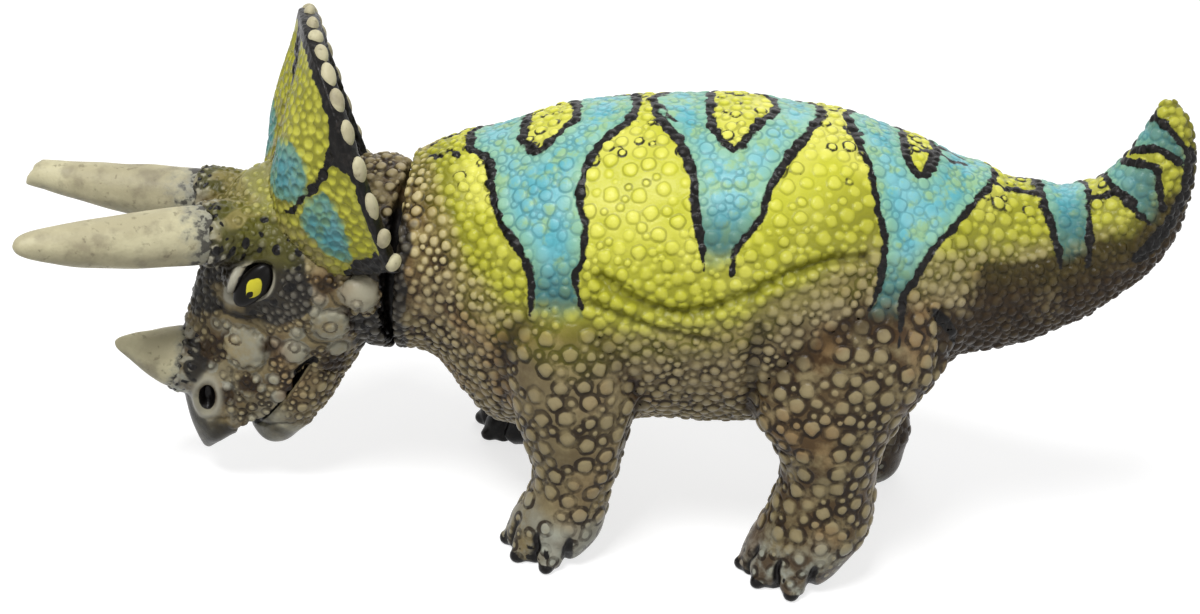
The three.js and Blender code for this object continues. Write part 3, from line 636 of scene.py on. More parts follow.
# Places on the body: t in millimetres along it, and degrees from the spine.
bands = [
    # a blue band lies between its two black lines, down to its lowest place, round an oval at the spine
    {"front": [(17.5, 0), (18.6, 13), (22.9, 19), (25.3, 35), (28.1, 47), (33.3, 58), (36.6, 70), (37.7, 85)],
     "rear": [(57.0, 0), (55.9, 13), (54.0, 15), (48.3, 25), (45.9, 40), (47.8, 52), (48.3, 65), (46.8, 71),
              (49.8, 85)],
     "oval": [(30.9, 0), (30.9, 12), (32.2, 17), (35.2, 21), (39.2, 15), (42.2, 8), (42.8, 0)], "end": 85},
    {"front": [(61.0, 0), (61.4, 8), (63.7, 15), (68.3, 26), (71.6, 38), (72.5, 48), (74.9, 61), (76.3, 71)],
     "rear": [(101.0, 0), (100.8, 5), (99.6, 10), (93.7, 27), (89.5, 40), (87.6, 52), (83.3, 62), (82.8, 72)],
     "oval": [(74.2, 0), (74.4, 8), (74.9, 16), (77.4, 23), (80.5, 27), (83.6, 21), (86.4, 14), (89.1, 8),
              (89.6, 0)], "end": 69},
    {"front": [(107.0, 0), (107.7, 4), (109.6, 17), (112.6, 27), (114.8, 43), (116.9, 51), (117.3, 72),
               (115.8, 83)],
     "rear": [(146.0, 0), (145.2, 8), (142.0, 21), (134.3, 44), (129.9, 54), (126.0, 67), (123.7, 77),
              (123.7, 96)],
     "oval": [(121.4, 0), (121.4, 15), (123.2, 21), (125.4, 24), (128.0, 14), (129.7, 2), (129.7, 0)],
     "end": 83},
    {"front": [(162.1, 0), (162.1, 28), (162.9, 53), (163.2, 80)],
     "rear": [(181.5, 0), (181.0, 11), (176.7, 37), (169.6, 87)], "oval": [], "end": 70},
    {"front": [(189.3, 0), (189.0, 41), (187.8, 69), (187.1, 100)],
     "rear": [(196.5, 0), (199.6, 61), (195.0, 84), (190.8, 106)], "oval": [], "end": 97},
    {"front": [(201.0, 0), (201.2, 7), (204.2, 58), (201.2, 116)],
     "rear": [(211.5, 0), (210.5, 58), (206.2, 108), (202.1, 143)], "oval": [], "end": 140},
]
yellowEdge = [(0, 2), (6.7, 6), (12.5, 37), (20, 70), (32.7, 84), (44.6, 89), (63.2, 95), (77.2, 93),
              (90.5, 84), (105.1, 68), (116.2, 58), (136, 57), (161.3, 62), (175.8, 64), (190.8, 83),
              (197.2, 129), (215, 175)]
# More black strokes: points on the body, extra half width.
strokes = [
    ([(145.2, 14), (148.4, 17), (154.4, 11), (157.4, 12), (161.0, 14)], -0.35),
    ([(181.0, 25), (187.5, 30), (189.4, 44), (189.0, 62)], -0.1),
    ([(203.0, 139), (199.9, 137), (196.5, 137), (191.2, 130), (186.4, 121), (181.0, 114)], 1.1),
    ([(122.4, 5), (126.3, 8), (129.7, 3), (133.0, 7), (137.1, 3)], -0.45),
    ([(63.0, 5), (64.5, 11), (66.5, 14)], -0.5), ([(106.0, 8), (108.0, 14), (110.5, 10)], -0.5),
    ([(8.5, 8), (10.8, 14), (13.2, 10), (15.5, 17)], -0.5),
]
creases = [
    # points on the body, depth, half width
    ([(53.0, 72), (57.3, 77), (64.6, 84), (71.1, 87), (80, 84), (86.2, 80), (92.3, 74), (102, 66), (113, 62)],
     1.5, 1.3),
    ([(51, 82), (60.5, 89), (72.1, 96), (80, 98)], 0.8, 1.1),
    ([(133.5, 89), (134.9, 102), (135.1, 112)], 1.2, 1.3),
    ([(90.9, 92), (90.9, 111), (92.3, 133)], 1.0, 2.0),
    ([(65.5, 132), (63.7, 137), (63.5, 144)], 1.0, 1.6),
]


# Distance to a line of places. The body is unrolled at each point's own radius: one direction is t,
# the other the angle times the radius, and the distance is the least to the line's straight parts.
def lineGap(t, phi, r, line):
    line = smoothRows(line, 4)
    best = np.full(len(t), 1e9)
    for (ta, pa), (tb, pb) in zip(line[:-1], line[1:]):
        pa, pb = math.radians(pa), math.radians(pb)
        dt, dp = tb - ta, (pb - pa) * r
        share = np.clip(((t - ta) * dt + (phi - pa) * r * dp) / (dt * dt + dp * dp + 1e-9), 0, 1)
        best = np.minimum(best, (t - ta - share * dt) ** 2 + ((phi - pa) * r - share * dp) ** 2)
    return np.sqrt(best)


# Paint distances in millimetres: into the blue from its edge, from the middle of the nearest black
# line, above the yellow's lower edge, and above the lower end of the nearest band.
def bodyPaint(t, phi, r):
    turn = np.degrees(phi)
    blue = np.full(len(t), -99.0)
    line = np.full(len(t), 99.0)
    blueLow = np.full(len(t), -99.0)
    for band in bands:
        front, rear = np.array(band["front"]), np.array(band["rear"])
        gap = np.minimum(lineGap(t, phi, r, band["front"]), lineGap(t, phi, r, band["rear"]))
        last = np.where(np.abs(t - front[-1, 0]) < np.abs(t - rear[-1, 0]), front[-1, 1], rear[-1, 1])
        thin = 0.55 * smoothStep(last - 14, last, turn) + 0.2 * smoothStep(12, 40, turn)
        inside = t > np.interp(turn, front[:, 1], front[:, 0])
        inside &= t < np.interp(turn, rear[:, 1], rear[:, 0])
        if band["oval"]:
            oval = np.array(band["oval"])
            gap = np.minimum(gap, lineGap(t, phi, r, band["oval"]))
            lowest = np.interp(t, oval[:, 0], oval[:, 1], left=-1, right=-1)
            inside &= turn > lowest
        signed = np.where(inside, gap, -gap)
        blueLow = np.where(signed > blue, np.radians(band["end"] - turn) * r, blueLow)
        blue = np.maximum(blue, signed)
        line = np.minimum(line, gap + thin)
    for places, wide in strokes:
        line = np.minimum(line, lineGap(t, phi, r, places) - wide)
    edge = np.array(yellowEdge)
    yellow = np.radians(np.interp(t, edge[:, 0], edge[:, 1]) - turn) * r
    return blue, line, yellow, blueLow


# Body

body = {
    "voxel": 0.45,
    "blend": 60, "blendReach": 7,      # rounds of smoothing where a leg leaves the trunk, and how far out
    "swell": ((0.35, 22, 3), (0.16, 9, 4)),      # soft unevenness: height, size, seed
    "toeSplit": 1.3,      # depth of the splits between the toes
    "domeShare": 0.36,    # a pebble's height, of its radius
    "places": 70000,      # tries for a pebble
    "seed": 11,
    "cuts": (39.0, 92.0),  # x of the cuts that part the trunk's skin in three
}


# Sizes of the pebbles at each place: least and largest radius, how tight they lie, how high they stand,
# how deep the ditch round them is, and how much brown lies in it, with painted shade added under the rump
# and tail and in the crevices where the legs meet the trunk.
def pebbleZones(points, t, phi, toTrunk, toLeg):
    legness = smoothStep(-4, 4, toTrunk - toLeg)
    turn = np.degrees(phi)
    spine = 1 - smoothStep(14, 34, turn)
    tail = smoothStep(135, 165, t)
    low = smoothStep(58, 74, turn) * (1 - legness)
    neckness = smoothStep(34, 20, t)
    footness = 1 - smoothStep(8, 14, points[:, 2])
    patchy = waves(points, 26, 81)
    least = 0.72 + 0.06 * legness - 0.06 * spine - 0.05 * tail
    largest = 1.75 + 0.25 * legness - 0.4 * spine - 0.25 * tail - 0.2 * low - 0.25 * neckness - 1.0 * footness
    smoothFlank = np.exp(-((t - 58) / 15) ** 2 - ((turn - 42) / 15) ** 2)
    smoothFlank += 0.8 * np.exp(-((t - 100) / 12) ** 2 - ((turn - 38) / 13) ** 2)
    smoothFlank = np.clip(smoothFlank, 0, 1)
    tight = 0.98 + 0.16 * legness + 0.12 * spine + 0.4 * smoothFlank - 0.06 * low
    tight += 0.12 * patchy * (0.4 + legness)
    tight += 0.7 * smoothStep(0.25, 0.7, waves(points, 17, 86)) * legness + 0.6 * footness
    height = 1 - 0.5 * smoothFlank - 0.15 * spine - 0.8 * footness + 0.15 * low
    height = np.maximum(height - 0.38 * legness, 0.05)
    ditch = 0.55 + 0.85 * legness + 0.35 * tail * smoothStep(50, 80, turn)
    ditch = ditch + 0.4 * neckness - 0.35 * smoothFlank
    thigh = legness * smoothStep(84, 100, t)
    brown = np.clip(0.45 * neckness - 0.1 * legness + 0.3 * patchy + 0.42 + 0.7 * thigh, 0, 1)
    # painted shade: dark brown under the rump and tail, and in the crevice where a leg meets the trunk low
    # down
    brown += 1.3 * smoothStep(130, 146, t) * smoothStep(58, 74, turn)
    creviceShade = np.exp(-(np.maximum(toTrunk, toLeg) / 3) ** 2) * smoothStep(66, 90, turn)
    brown += (0.95 - 0.45 * thigh) * creviceShade
    return least, largest, np.maximum(tight, 0.86), height, ditch, brown, legness


pebble = {
    "smallMore": 2.2,     # power of the random size: the higher, the more small pebbles
    "reach": 1.1,         # how far outside its edge a pebble still shapes the skin
    "ditch": (0.3, 0.38, 0.3),      # middle outside the edge, half width, depth
    "ragged": (0.14, 0.15),         # wander of the edge, of the radius, and more on the largest
}


# Pebbles on a skin: over each a dome of height * sqrt(1 - (d / r)^power), with a shallow ditch round it;
# power runs from 2, a dome, to 4, a disc. Large scales are given by number, radius and height, and are
# flatter. Each pebble has a chance of its own, from 0 to 1.
def pebbleRelief(points, least, largest, tight, height, ditch, settings, scales=None):
    rng = np.random.default_rng(settings["seed"])
    pick = rng.choice(len(points), min(settings["places"], len(points)), replace=False)
    radii = least[pick] + (largest - least)[pick] * rng.uniform(size=len(pick)) ** pebble["smallMore"]
    fixed = 0
    if scales:
        fixed = len(scales[0])
        pick = np.concatenate([scales[0], pick])
        radii = np.concatenate([scales[1], radii])
    kept = scatter(points[pick], radii, tight[pick], fixed)
    chance = rng.uniform(size=len(kept))
    high = np.where(kept < fixed, 0.0, radii[kept] * settings["domeShare"] * (0.75 + 0.5 * chance))
    if scales:
        high[kept < fixed] = scales[2][kept[kept < fixed]]
    power = np.where(kept < fixed, 4.0, 2 + 1.6 * rng.uniform(size=len(kept)) ** 2)
    places, radii = points[pick][kept], radii[kept]
    found, gap = nearPebble(points, places, radii, pebble["reach"])
    radius = np.where(found >= 0, radii[found], 1.0)
    ragged = pebble["ragged"][0] * radius + pebble["ragged"][1] * (radius > 2.8)
    gap = gap + ragged * waves(points, 2.2, 82) * (found >= 0)
    out = np.clip(1 + gap / radius, 0, 1)
    dome = np.sqrt(1 - out ** power[found]) * (found >= 0)
    lift = dome * high[found] * height
    middle, width, depth = pebble["ditch"]
    trough = np.exp(-((gap - middle) / width) ** 2) * depth * ditch * np.clip(height, 0, 1)
    return lift - trough, gap, dome, found, pick[kept], np.where(found >= 0, chance[found], 0.5)


# The body's one skin: fused point + normal * (pebble - crease + swell). Its quads are then parted among
# the trunk, the tail and the legs.
def makeBody():
    skins = [trunkGrid(), tailGrid()] + [legGrid(leg) for leg in legs.values()]
    skins += [grid for leg in legs.values() for grid in toeGrids(leg)]
    points, quads, edges = fuse(skins, body["voxel"])
    print("body fused:", len(points), "points")
    toTrunk, toLeg, which = partDistances(points)
    near = np.maximum(toTrunk, toLeg)
    points = relax(points, edges, 0.5 * np.exp(-(near / body["blendReach"]) ** 2) + 0.05, body["blend"])
    toTrunk, toLeg, which = partDistances(points)
    t, phi, r = bodyPlace(points)
    normals = skinNormals(points, quads)
    least, largest, tight, height, ditch, brown, legness = pebbleZones(points, t, phi, toTrunk, toLeg)
    inside = smoothStep(neck["rim"] + 0.4, neck["rim"] - 0.6, points[:, 0])
    height *= 1 - inside
    blue, line, yellow, blueLow = bodyPaint(t, phi, r)
    height *= 1 - 0.5 * smoothStep(-0.5, 3, blue) * smoothStep(2, 20, blueLow)
    rise, gap, dome, found, seeds, chance = pebbleRelief(points, least, largest, tight, height, ditch, body)
    print("body pebbles:", len(seeds))
    crease, bulge = np.zeros(len(points)), np.zeros(len(points))
    for places, depth, width in creases:
        away = lineGap(t, phi, r, places)
        crease = np.maximum(crease, depth * np.exp(-(away / width) ** 2))
        bulge = np.maximum(bulge, 0.35 * depth * np.exp(-((away - 2.3 * width) / (1.3 * width)) ** 2))
    crease = np.maximum(crease, body["toeSplit"] * toeSplits(points, waves(points, 5, 15), 0.9, 10))
    crease *= 1 - inside
    swell = sum(high * waves(points, size, seed) for high, size, seed in body["swell"])
    move = rise - crease + (swell + bulge) * (1 - inside)
    shown = points + normals * move[:, None]
    shown[:, 2] = np.maximum(shown[:, 2], 0)
    normals = skinNormals(shown, quads)
    # a pebble is painted whole: its paint distances lean towards those at its middle
    whole = np.where(found >= 0, smoothStep(0.25, -0.15, gap), 0)
    whole *= 0.35 + 0.45 * smoothStep(40, 15, np.degrees(phi))
    middle = seeds[np.maximum(found, 0)]
    blue, line, yellow = (d + (d[middle] - d) * whole for d in (blue, line, yellow))
    turn = np.degrees(phi)
    ring = np.clip(0.2 + 0.3 * legness + 0.95 * chance ** 0.8 + 0.35 * waves(points, 16, 83), 0.05, 1)
    spotted = (chance > 0.74) * smoothStep(44, 30, turn) * smoothStep(-3, 3, yellow) * smoothStep(12, 18, t)
    trim = bodyTrim(shown, phi)
    # painted shade: black in the crease behind the thigh, low down where it meets the trunk and tail
    thighCreaseShade = np.exp(-((toLeg - toTrunk) / 1.1) ** 2) * smoothStep(126, 134, points[:, 0])
    thighCreaseShade *= smoothStep(60, 72, turn)
    trim[:, 2] = np.maximum(trim[:, 2], thighCreaseShade)
    marks = {
        "paint": np.stack([blue, line, yellow], 1),
        "more": np.stack([blueLow, brown, crease], 1),
        "relief": np.stack([gap, dome, ring], 1),
        "trim": trim,
        "spots": np.stack([spotted, legness, -smoothStep(54, 30, t) * smoothStep(98, 62, turn)], 1),
    }
    quadX = shown[quads].mean(1)[:, 0]
    owner = np.where(quadX < body["cuts"][0], 0, np.where(quadX < body["cuts"][1], 1, 2))
    owner = np.where(quadX > tailSeam["x"], 3, owner)
    lean = relax((toLeg - toTrunk)[:, None] * np.ones(3), edges, np.full(len(points), 0.5), 6)[:, 0]
    onLeg = lean[quads].mean(1) < 0
    owner = np.where(onLeg, 4 + which[quads[:, 0]], owner)
    names = ["trunk_front", "trunk_flank", "trunk_rump", "tail_skin"] + [name + "_skin" for name in legs]
    nodes = ["trunk", "trunk", "trunk", "tail"] + list(legs)
    slots = ["back_skin"] * 3 + ["tail_skin"] + ["leg_skin"] * 4
    for number, (name, node, slot) in enumerate(zip(names, nodes, slots)):
        piece = skinPiece(name, toScene(shown), normals, quads[owner == number], marks)
        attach(piece, "body")
        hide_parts(node)
        piece.data.materials.append(skinMaterial())
        print(name, len(piece.data.polygons), "faces")


# Charcoal, foot grey and black shares of the body's paint: grey feet with black claws, black along their
# lower edge and in the splits between the toes, painted shadow in black over the far forefoot, and painted
# shade round the neck's joint.
def bodyTrim(points, phi):
    z = points[:, 2]
    noise = waves(points, 5, 15)
    fine = waves(points, 2.6, 18)
    grey = smoothStep(19, 7, z + 2.5 * waves(points, 9, 16)) * 0.95
    black = np.zeros(len(points))
    for leg in legs.values():
        for place, ahead in clawPlaces(leg):
            far = np.linalg.norm((points - place - ahead * 1.2 - (0, 0, -0.8)) / (1, 1, 0.8), axis=1)
            black = np.maximum(black, smoothStep(2.7, 1.7, far + 0.5 * noise))
    black = np.maximum(black, toeSplits(points, noise, 1.25, 10.5))
    black = np.maximum(black, smoothStep(2.6, 0.9, z + 0.9 * noise + 0.7 * fine) * 0.9)
    pits = smoothStep(0.36, 0.66, fine) * smoothStep(10, 4, z) * 0.8
    black = np.maximum(black, pits)
    # painted shadow: the far forefoot black up to about 12 to 17 mm
    heel = np.mean([place for place, _ in clawPlaces(legs["front_right_leg"])], axis=0)
    farFootShadow = smoothStep(22, 16, np.linalg.norm(points - heel, axis=1))
    farFootShadow *= smoothStep(-2, 2, points[:, 1] * np.sign(heel[1]))
    black = np.maximum(black, farFootShadow * smoothStep(17, 12, z + noise) * 0.8)
    # painted shade round the neck's joint: charcoal on the trunk's neck, heaviest underneath, and black in its
    # hollow
    paintedShade = smoothStep(neck["rim"] + 5.0, neck["rim"] + 0.8, points[:, 0] + 1.6 * noise)
    under = smoothStep(34, 66, np.degrees(phi))
    charcoal = paintedShade * (0.1 + 0.85 * under)
    inNeck = smoothStep(neck["rim"] + 0.6, neck["rim"] - 0.8, points[:, 0])
    black = np.maximum(black, inNeck * (0.5 + 0.5 * under))
    return np.stack([charcoal, grey, black], 1)


# A part of a skin as its own closed piece: the holes at its cuts get a flat fan inside, and the
# normals are those of the whole skin, so that no seam shows.
def skinPiece(name, points, normals, quads, marks):
    used, back = np.unique(quads, return_inverse=True)
    quads = back.reshape(-1, 4)
    rims = openRims(quads, len(used))
    own, fans, extra = points[used], [], []
    for rim in rims:
        extra.append(own[rim].mean(0))
        number = len(used) + len(extra) - 1
        fans.append(np.stack([np.roll(rim, -1), rim, np.full(len(rim), number)], 1))
    faces = [quads] + fans
    own = np.concatenate([own] + [e[None] for e in extra])
    mesh = makeMesh(name, own, faces)
    count = len(mesh.vertices)
    facing = np.concatenate([normals[used], np.zeros((count - len(used), 3))])
    mesh.normals_split_custom_set_from_vertices(facing)
    padding = np.zeros((count - len(used), 3))
    writeMarks(mesh, {label: np.concatenate([values[used], padding]) for label, values in marks.items()})
    return addObject(name, mesh)


# Each mark, a row of three values per point, as an attribute that the paint reads.
def writeMarks(mesh, marks):
    for label, values in marks.items():
        layer = mesh.attributes.new(label, "FLOAT_VECTOR", "POINT")
        layer.data.foreach_set("vector", values.astype(np.float32).ravel())


# The open rims of a patch of quads, each a row of points in order. An edge is open where no quad
# runs along it the other way.
def openRims(quads, count):
    a = quads.ravel().astype(np.int64)
    b = np.roll(quads, -1, 1).ravel().astype(np.int64)
    lone = ~np.isin(a * count + b, b * count + a)
    after = dict(zip(a[lone].tolist(), b[lone].tolist()))
    rims = []
    while after:
        first, at = after.popitem()
        rim = [first]
        while at != first and at in after:
            rim.append(at)
            at = after.pop(at)
        if len(rim) > 2:
            rims.append(np.array(rim))
    return rims


# Head

head = {
    "voxel": 0.36,
    "blend": 22,           # rounds of smoothing over the fused skin
    "domeShare": 0.34,
    "places": 26000,
    "seed": 5,
    "swell": ((0.3, 7, 21), (0.4, 17, 22)),      # soft unevenness: height, size, seed
    "cut": 15.0,           # place ahead of the ball's middle where the skin is parted in two
}
jaw = {
    "voxel": 0.36, "blend": 14,
    "domeShare": 0.34, "places": 4000, "seed": 8,
    "least": 0.55, "largest": 1.2,      # radii of its pebbles
}
# Large flat scales on each side of the face: along and across the muzzle, radius, height.
faceScales = [
    (36.9, 21.6, 5.6, 1.0), (17.9, 9.4, 4.6, 0.9), (5.6, 9.0, 4.8, 0.8), (30.4, 11.9, 3.2, 0.7),
    (44.3, 7.3, 2.0, 0.5), (47.7, 14.4, 1.2, 0.6), (44.7, 12.5, 1.1, 0.5), (43.1, 14.9, 0.9, 0.5),
    (52.8, 16.3, 0.9, 0.6), (35.9, 29.5, 0.9, 0.5), (34.5, 27.6, 0.9, 0.5), (24.0, 3.0, 2.4, 0.5),
    (13.0, 16.0, 1.3, 0.6), (11.6, 18.4, 1.2, 0.6), (16.7, 14.8, 1.3, 0.6), (31.0, 17.0, 1.3, 0.5),
    (24.6, 14.6, 1.2, 0.5), (40.2, 11.2, 1.4, 0.5), (36.6, 7.4, 1.2, 0.4), (49.8, 19.0, 1.1, 0.4),
    (47.0, 25.0, 1.0, 0.5), (43.8, 28.6, 1.0, 0.5),
]
jawScales = [
    (36.8, -0.6, 1.6, 0.5), (44.3, 0.8, 1.4, 0.5), (41.0, 2.6, 1.1, 0.4), (40.6, -3.4, 1.2, 0.4),
]
# The lower edge of the jaw's beak.
sheathEdge = [(57.0, 6.5), (52.6, 3.0), (49.6, -0.6), (47.5, -3.0), (46.0, -7.0)]
# Clusters of small pebbles with dark brown between them: along, across, radius.
facePatches = [(43.7, 28.6, 5.0), (46.0, 15.7, 3.6), (51.3, 17.4, 3.0), (32.8, 17.3, 3.6), (40.8, 4.5, 3.4),
               (9.0, 17.0, 3.5), (14.0, 3.0, 4.0), (29.0, 1.0, 4.0)]
# Round bumps that stand on the scales: along, across, radius, height.
faceBumps = [(17.9, 9.5, 1.3, 0.6), (11.4, 6.9, 1.1, 0.6), (8.8, 3.4, 1.1, 0.6), (8.2, 8.2, 0.8, 0.5),
             (35.9, 24.2, 1.0, 0.6), (28.6, 12.6, 0.9, 0.5), (42.0, 21.0, 0.8, 0.4)]
# Folds: places along and across the muzzle, depth, half width, and how black the painted shade in them is.
faceFolds = [
    ([(38.6, 4.6), (37.2, 6.6), (34.0, 7.4), (30.4, 6.2)], 1.7, 1.25, 1.0),
    ([(32.2, 33.0), (32.0, 29.3), (29.6, 25.4), (26.0, 22.2)], 0.7, 0.8, 0.55),
    ([(29.8, 24.6), (30.2, 20.0), (33.6, 16.6), (38.6, 15.4), (42.6, 16.0)], 0.5, 0.7, 0.42),
    ([(66.0, 19.5), (60.9, 18.0), (58.2, 14.9), (55.4, 12.0), (52.0, 9.0)], 0.6, 0.7, 0.3),
    ([(38.6, 27.0), (43.0, 24.2), (46.8, 24.0)], 0.4, 0.7, 0.4),
    ([(45.0, 20.6), (49.4, 17.4), (50.6, 13.0)], 0.45, 0.7, 0.45),
    ([(22.6, 14.2), (24.8, 10.4), (23.4, 6.0)], 0.45, 0.7, 0.5),
    ([(27.2, 8.4), (31.4, 9.0), (35.4, 10.6)], 0.4, 0.6, 0.3),
    ([(10.0, 14.6), (12.0, 10.6), (11.6, 5.6)], 0.4, 0.7, 0.5),
]
# The outline of the dark paint round the eye and over the brow.
browPaint = [(20.5, 43.5), (30.0, 44.0), (39.5, 42.0), (42.5, 37.5), (38.0, 34.6), (34.8, 33.0),
             (31.8, 30.0), (30.4, 25.6), (28.7, 21.2), (22.4, 17.6), (17.4, 16.6), (11.6, 18.8),
             (9.0, 22.0), (5.2, 25.4), (3.4, 30.0), (5.0, 36.5), (11.0, 42.0)]
# Half length and half height of the openings, their tilt in degrees and depth, and the swelling round
# them: its sizes, and how far out its middle lies.
eyePlace = {"s": 19.3, "t": 29.5, "long": 6.5, "short": 3.55, "tilt": 5.0, "depth": 1.5,
            "lids": (15.5, 11.5, 8.0), "out": 13.2}
nostrilPlace = {"s": 55.3, "t": 21.3, "long": 3.8, "short": 2.1, "tilt": -27.0, "depth": 2.8,
                "rim": (12.0, 8.4, 7.0), "out": 5.4}


# Share of the way out to the edge of a tilted ellipse in the muzzle's frame: 1 is the edge. An almond
# narrows toward its two ends.
def ovalShare(s, t, oval, almond=0.0):
    tilt = math.radians(oval.get("tilt", 0))
    a = ((s - oval["s"]) * math.cos(tilt) + (t - oval["t"]) * math.sin(tilt)) / oval["long"]
    b = ((t - oval["t"]) * math.cos(tilt) - (s - oval["s"]) * math.sin(tilt)) / oval["short"]
    return np.hypot(a, b / (1 - almond * np.minimum(a * a, 1)))


# Distance to an open line of places in a plane.
def pathGap(x, y, line):
    best = np.full(np.shape(x), 1e9)
    for (xa, ya), (xb, yb) in zip(line[:-1], line[1:]):
        dx, dy = xb - xa, yb - ya
        share = np.clip(((x - xa) * dx + (y - ya) * dy) / (dx * dx + dy * dy + 1e-9), 0, 1)
        best = np.minimum(best, np.hypot(x - xa - share * dx, y - ya - share * dy))
    return best


# Distance to a closed outline in a plane, positive inside: a point is inside where a line from it
# crosses the outline an odd number of times.
def outlineGap(x, y, line):
    inside = np.zeros(np.shape(x), bool)
    for (xa, ya), (xb, yb) in zip(line[:-1], line[1:]):
        dy = yb - ya if abs(yb - ya) > 1e-9 else 1e-9
        inside ^= ((ya > y) != (yb > y)) & (x < xa + (y - ya) * (xb - xa) / dy)
    gap = pathGap(x, y, line)
    return np.where(inside, gap, -gap)


# The points on a skin's two sides that lie nearest to places along and across the muzzle.
def sidePoints(s, t, v, scales):
    numbers = []
    for side in (-1, 1):
        for place in scales:
            away = np.hypot(s - place[0], t - place[1]) + np.where(v * side > 3, 0, 99)
            numbers.append(int(away.argmin()))
    return np.array(numbers)


# Numbers, radii and heights of a skin's large scales, for both sides.
def scaleSeeds(s, t, v, scales):
    numbers = sidePoints(s, t, v, scales)
    table = np.array(scales + scales)
    return numbers, table[:, 2], table[:, 3]


# The head's one skin: fused point + normal * (pebble + folds, lids, sockets and bumps).
def makeHead():
    tilt = math.radians(nostrilPlace["tilt"])
    long = muzzlePoint(math.cos(tilt), math.sin(tilt), 0)
    short = muzzlePoint(-math.sin(tilt), math.cos(tilt), 0)
    onBothSides = lambda place, sizes, axes, sides: [
        eggGrid(sizes, muzzlePoint(place["s"], place["t"], side * place["out"]), axes, sides)
        for side in (-1, 1)]
    lids = onBothSides(eyePlace, eyePlace["lids"], np.eye(3), 60)
    rims = onBothSides(nostrilPlace, nostrilPlace["rim"], [long, short, (0, 1, 0)], 40)
    knobs = onBothSides(cheekKnob, [2 * cheekKnob["radius"]] * 3, np.eye(3), 40)
    collars = [bossGrid(horn) for horn in horns.values()]
    grids = [skullGrid(), neckRollGrid()] + lids + rims + knobs + collars
    points, quads, edges = fuse(grids, head["voxel"])
    print("head fused:", len(points), "points")
    s, t, v = muzzlePlace(points)
    mouthEdge = (s > muzzle["jawRoot"] - 1) & (t < muzzle["mouth"] + 1.5 + mouthArch(s))
    rootEdge = np.zeros(len(points), bool)
    bossness, collar = np.zeros(len(points)), np.zeros(len(points))
    for horn in horns.values():
        ahead, _, _ = hornFrame(horn)
        along = (points - np.asarray(horn["root"])) @ ahead
        apart = np.linalg.norm(points - np.asarray(horn["root"]) - along[:, None] * ahead, axis=1)
        near = apart < horn["radius"] + 3.2
        rootEdge |= near & (along > -2.5)
        bossness = np.maximum(bossness, smoothStep(-9, -2, along) * smoothStep(11.5, 9.5, apart))
        collar = np.maximum(collar, near * smoothStep(-3.6, -0.6, along + 1.2 * waves(points, 4, 92)))
    points = relax(points, edges, np.where(mouthEdge, 0.1, np.where(rootEdge, 0.08, 0.5)), head["blend"])
    s, t, v = muzzlePlace(points)
    normals = skinNormals(points, quads)
    for number, side in zip(sidePoints(s, t, v, [(eyePlace["s"], eyePlace["t"])]), (-1, 1)):
        around = np.linalg.norm(points - points[number], axis=1) < 3
        eyePlace[side] = (points[number].copy(), normals[around].mean(0))
    side = np.abs(v)
    outer = np.linalg.norm(points, axis=1)
    behind = smoothStep(20.2, 22.5, outer)                      # none inside the neck's joint
    beak = smoothStep(54, 62, s)
    onSide = smoothStep(5, 9, side)

    eye = ovalShare(s, t, eyePlace, 0.3)
    nose = ovalShare(s, t, nostrilPlace)
    eyeSide = smoothStep(7, 10, side)
    noseSide = smoothStep(3, 5, side)
    brow = smoothStep(-0.6, 0.7, (t - eyePlace["t"]) / eyePlace["short"] + 0.02 * (s - eyePlace["s"]))
    sculpt = -eyePlace["depth"] * smoothStep(1.02, 0.8, eye) * eyeSide
    lidRise, lidWide = 0.55 + 0.6 * brow, 0.15 + 0.08 * brow
    sculpt += lidRise * np.exp(-((eye - 1.25 - 0.08 * brow) / lidWide) ** 2) * eyeSide
    sculpt += -nostrilPlace["depth"] * smoothStep(1.05, 0.45, nose) * noseSide
    sculpt += 0.55 * np.exp(-((nose - 1.45) / 0.3) ** 2) * noseSide
    sculpt += sum(high * waves(points, size, seed) for high, size, seed in head["swell"])
    sculpt += collar * (0.35 * waves(points, 2.2, 93) + 0.25 * waves(points, 1.3, 94))
    foldShade = np.zeros(len(points))
    for places, depth, width, blackness in faceFolds:
        gap = pathGap(s, t, smoothRows(places, 4))
        sculpt -= depth * np.exp(-(gap / width) ** 2) * onSide
        # painted shade in the fold
        inFold = smoothStep(width * 1.35, width * 0.3, gap + 0.45 * waves(points, 2.0, 23))
        foldShade = np.maximum(foldShade, blackness * inFold * onSide)

    # pebbles are left out round the eye and nostril, on the beak and in the horns' collars
    bare = smoothStep(1.9, 1.25, eye) * eyeSide + smoothStep(2.3, 1.7, nose) * noseSide + 0.95 * beak + collar
    quiet = 1 - np.clip(bare, 0, 1)
    rear = smoothStep(14, 2, points[:, 0])
    least = 0.45 + 0.2 * rear
    largest = 1.05 + 0.55 * rear
    numbers, scaleRadii, scaleHeights = scaleSeeds(s, t, v, faceScales)
    height = quiet * behind * (1 - 0.3 * bossness)
    crowd = waves(points, 10, 84)
    tight = 1.0 + 0.75 * smoothStep(-0.5, 0.5, crowd) * (1 - rear)
    rise, gap, dome, found, seeds, chance = pebbleRelief(
        points, least, largest, tight, height, 0.9 + 0 * s, head, (numbers, scaleRadii, scaleHeights))
    print("head pebbles:", len(seeds))
    for bs, bt, br, bh in faceBumps:
        away = np.hypot(s - bs, t - bt)
        away = np.where(side > 5, away, 99)
        rise = rise + bh * np.sqrt(np.clip(1 - (away / br) ** 2, 0, 1))
        rise -= 0.2 * np.exp(-((away - br - 0.3) / 0.3) ** 2)
        gap = np.where(np.abs(away - br) < 0.7, away - br, gap)
    shown = points + normals * (rise + sculpt * behind)[:, None]
    normals = skinNormals(shown, quads)

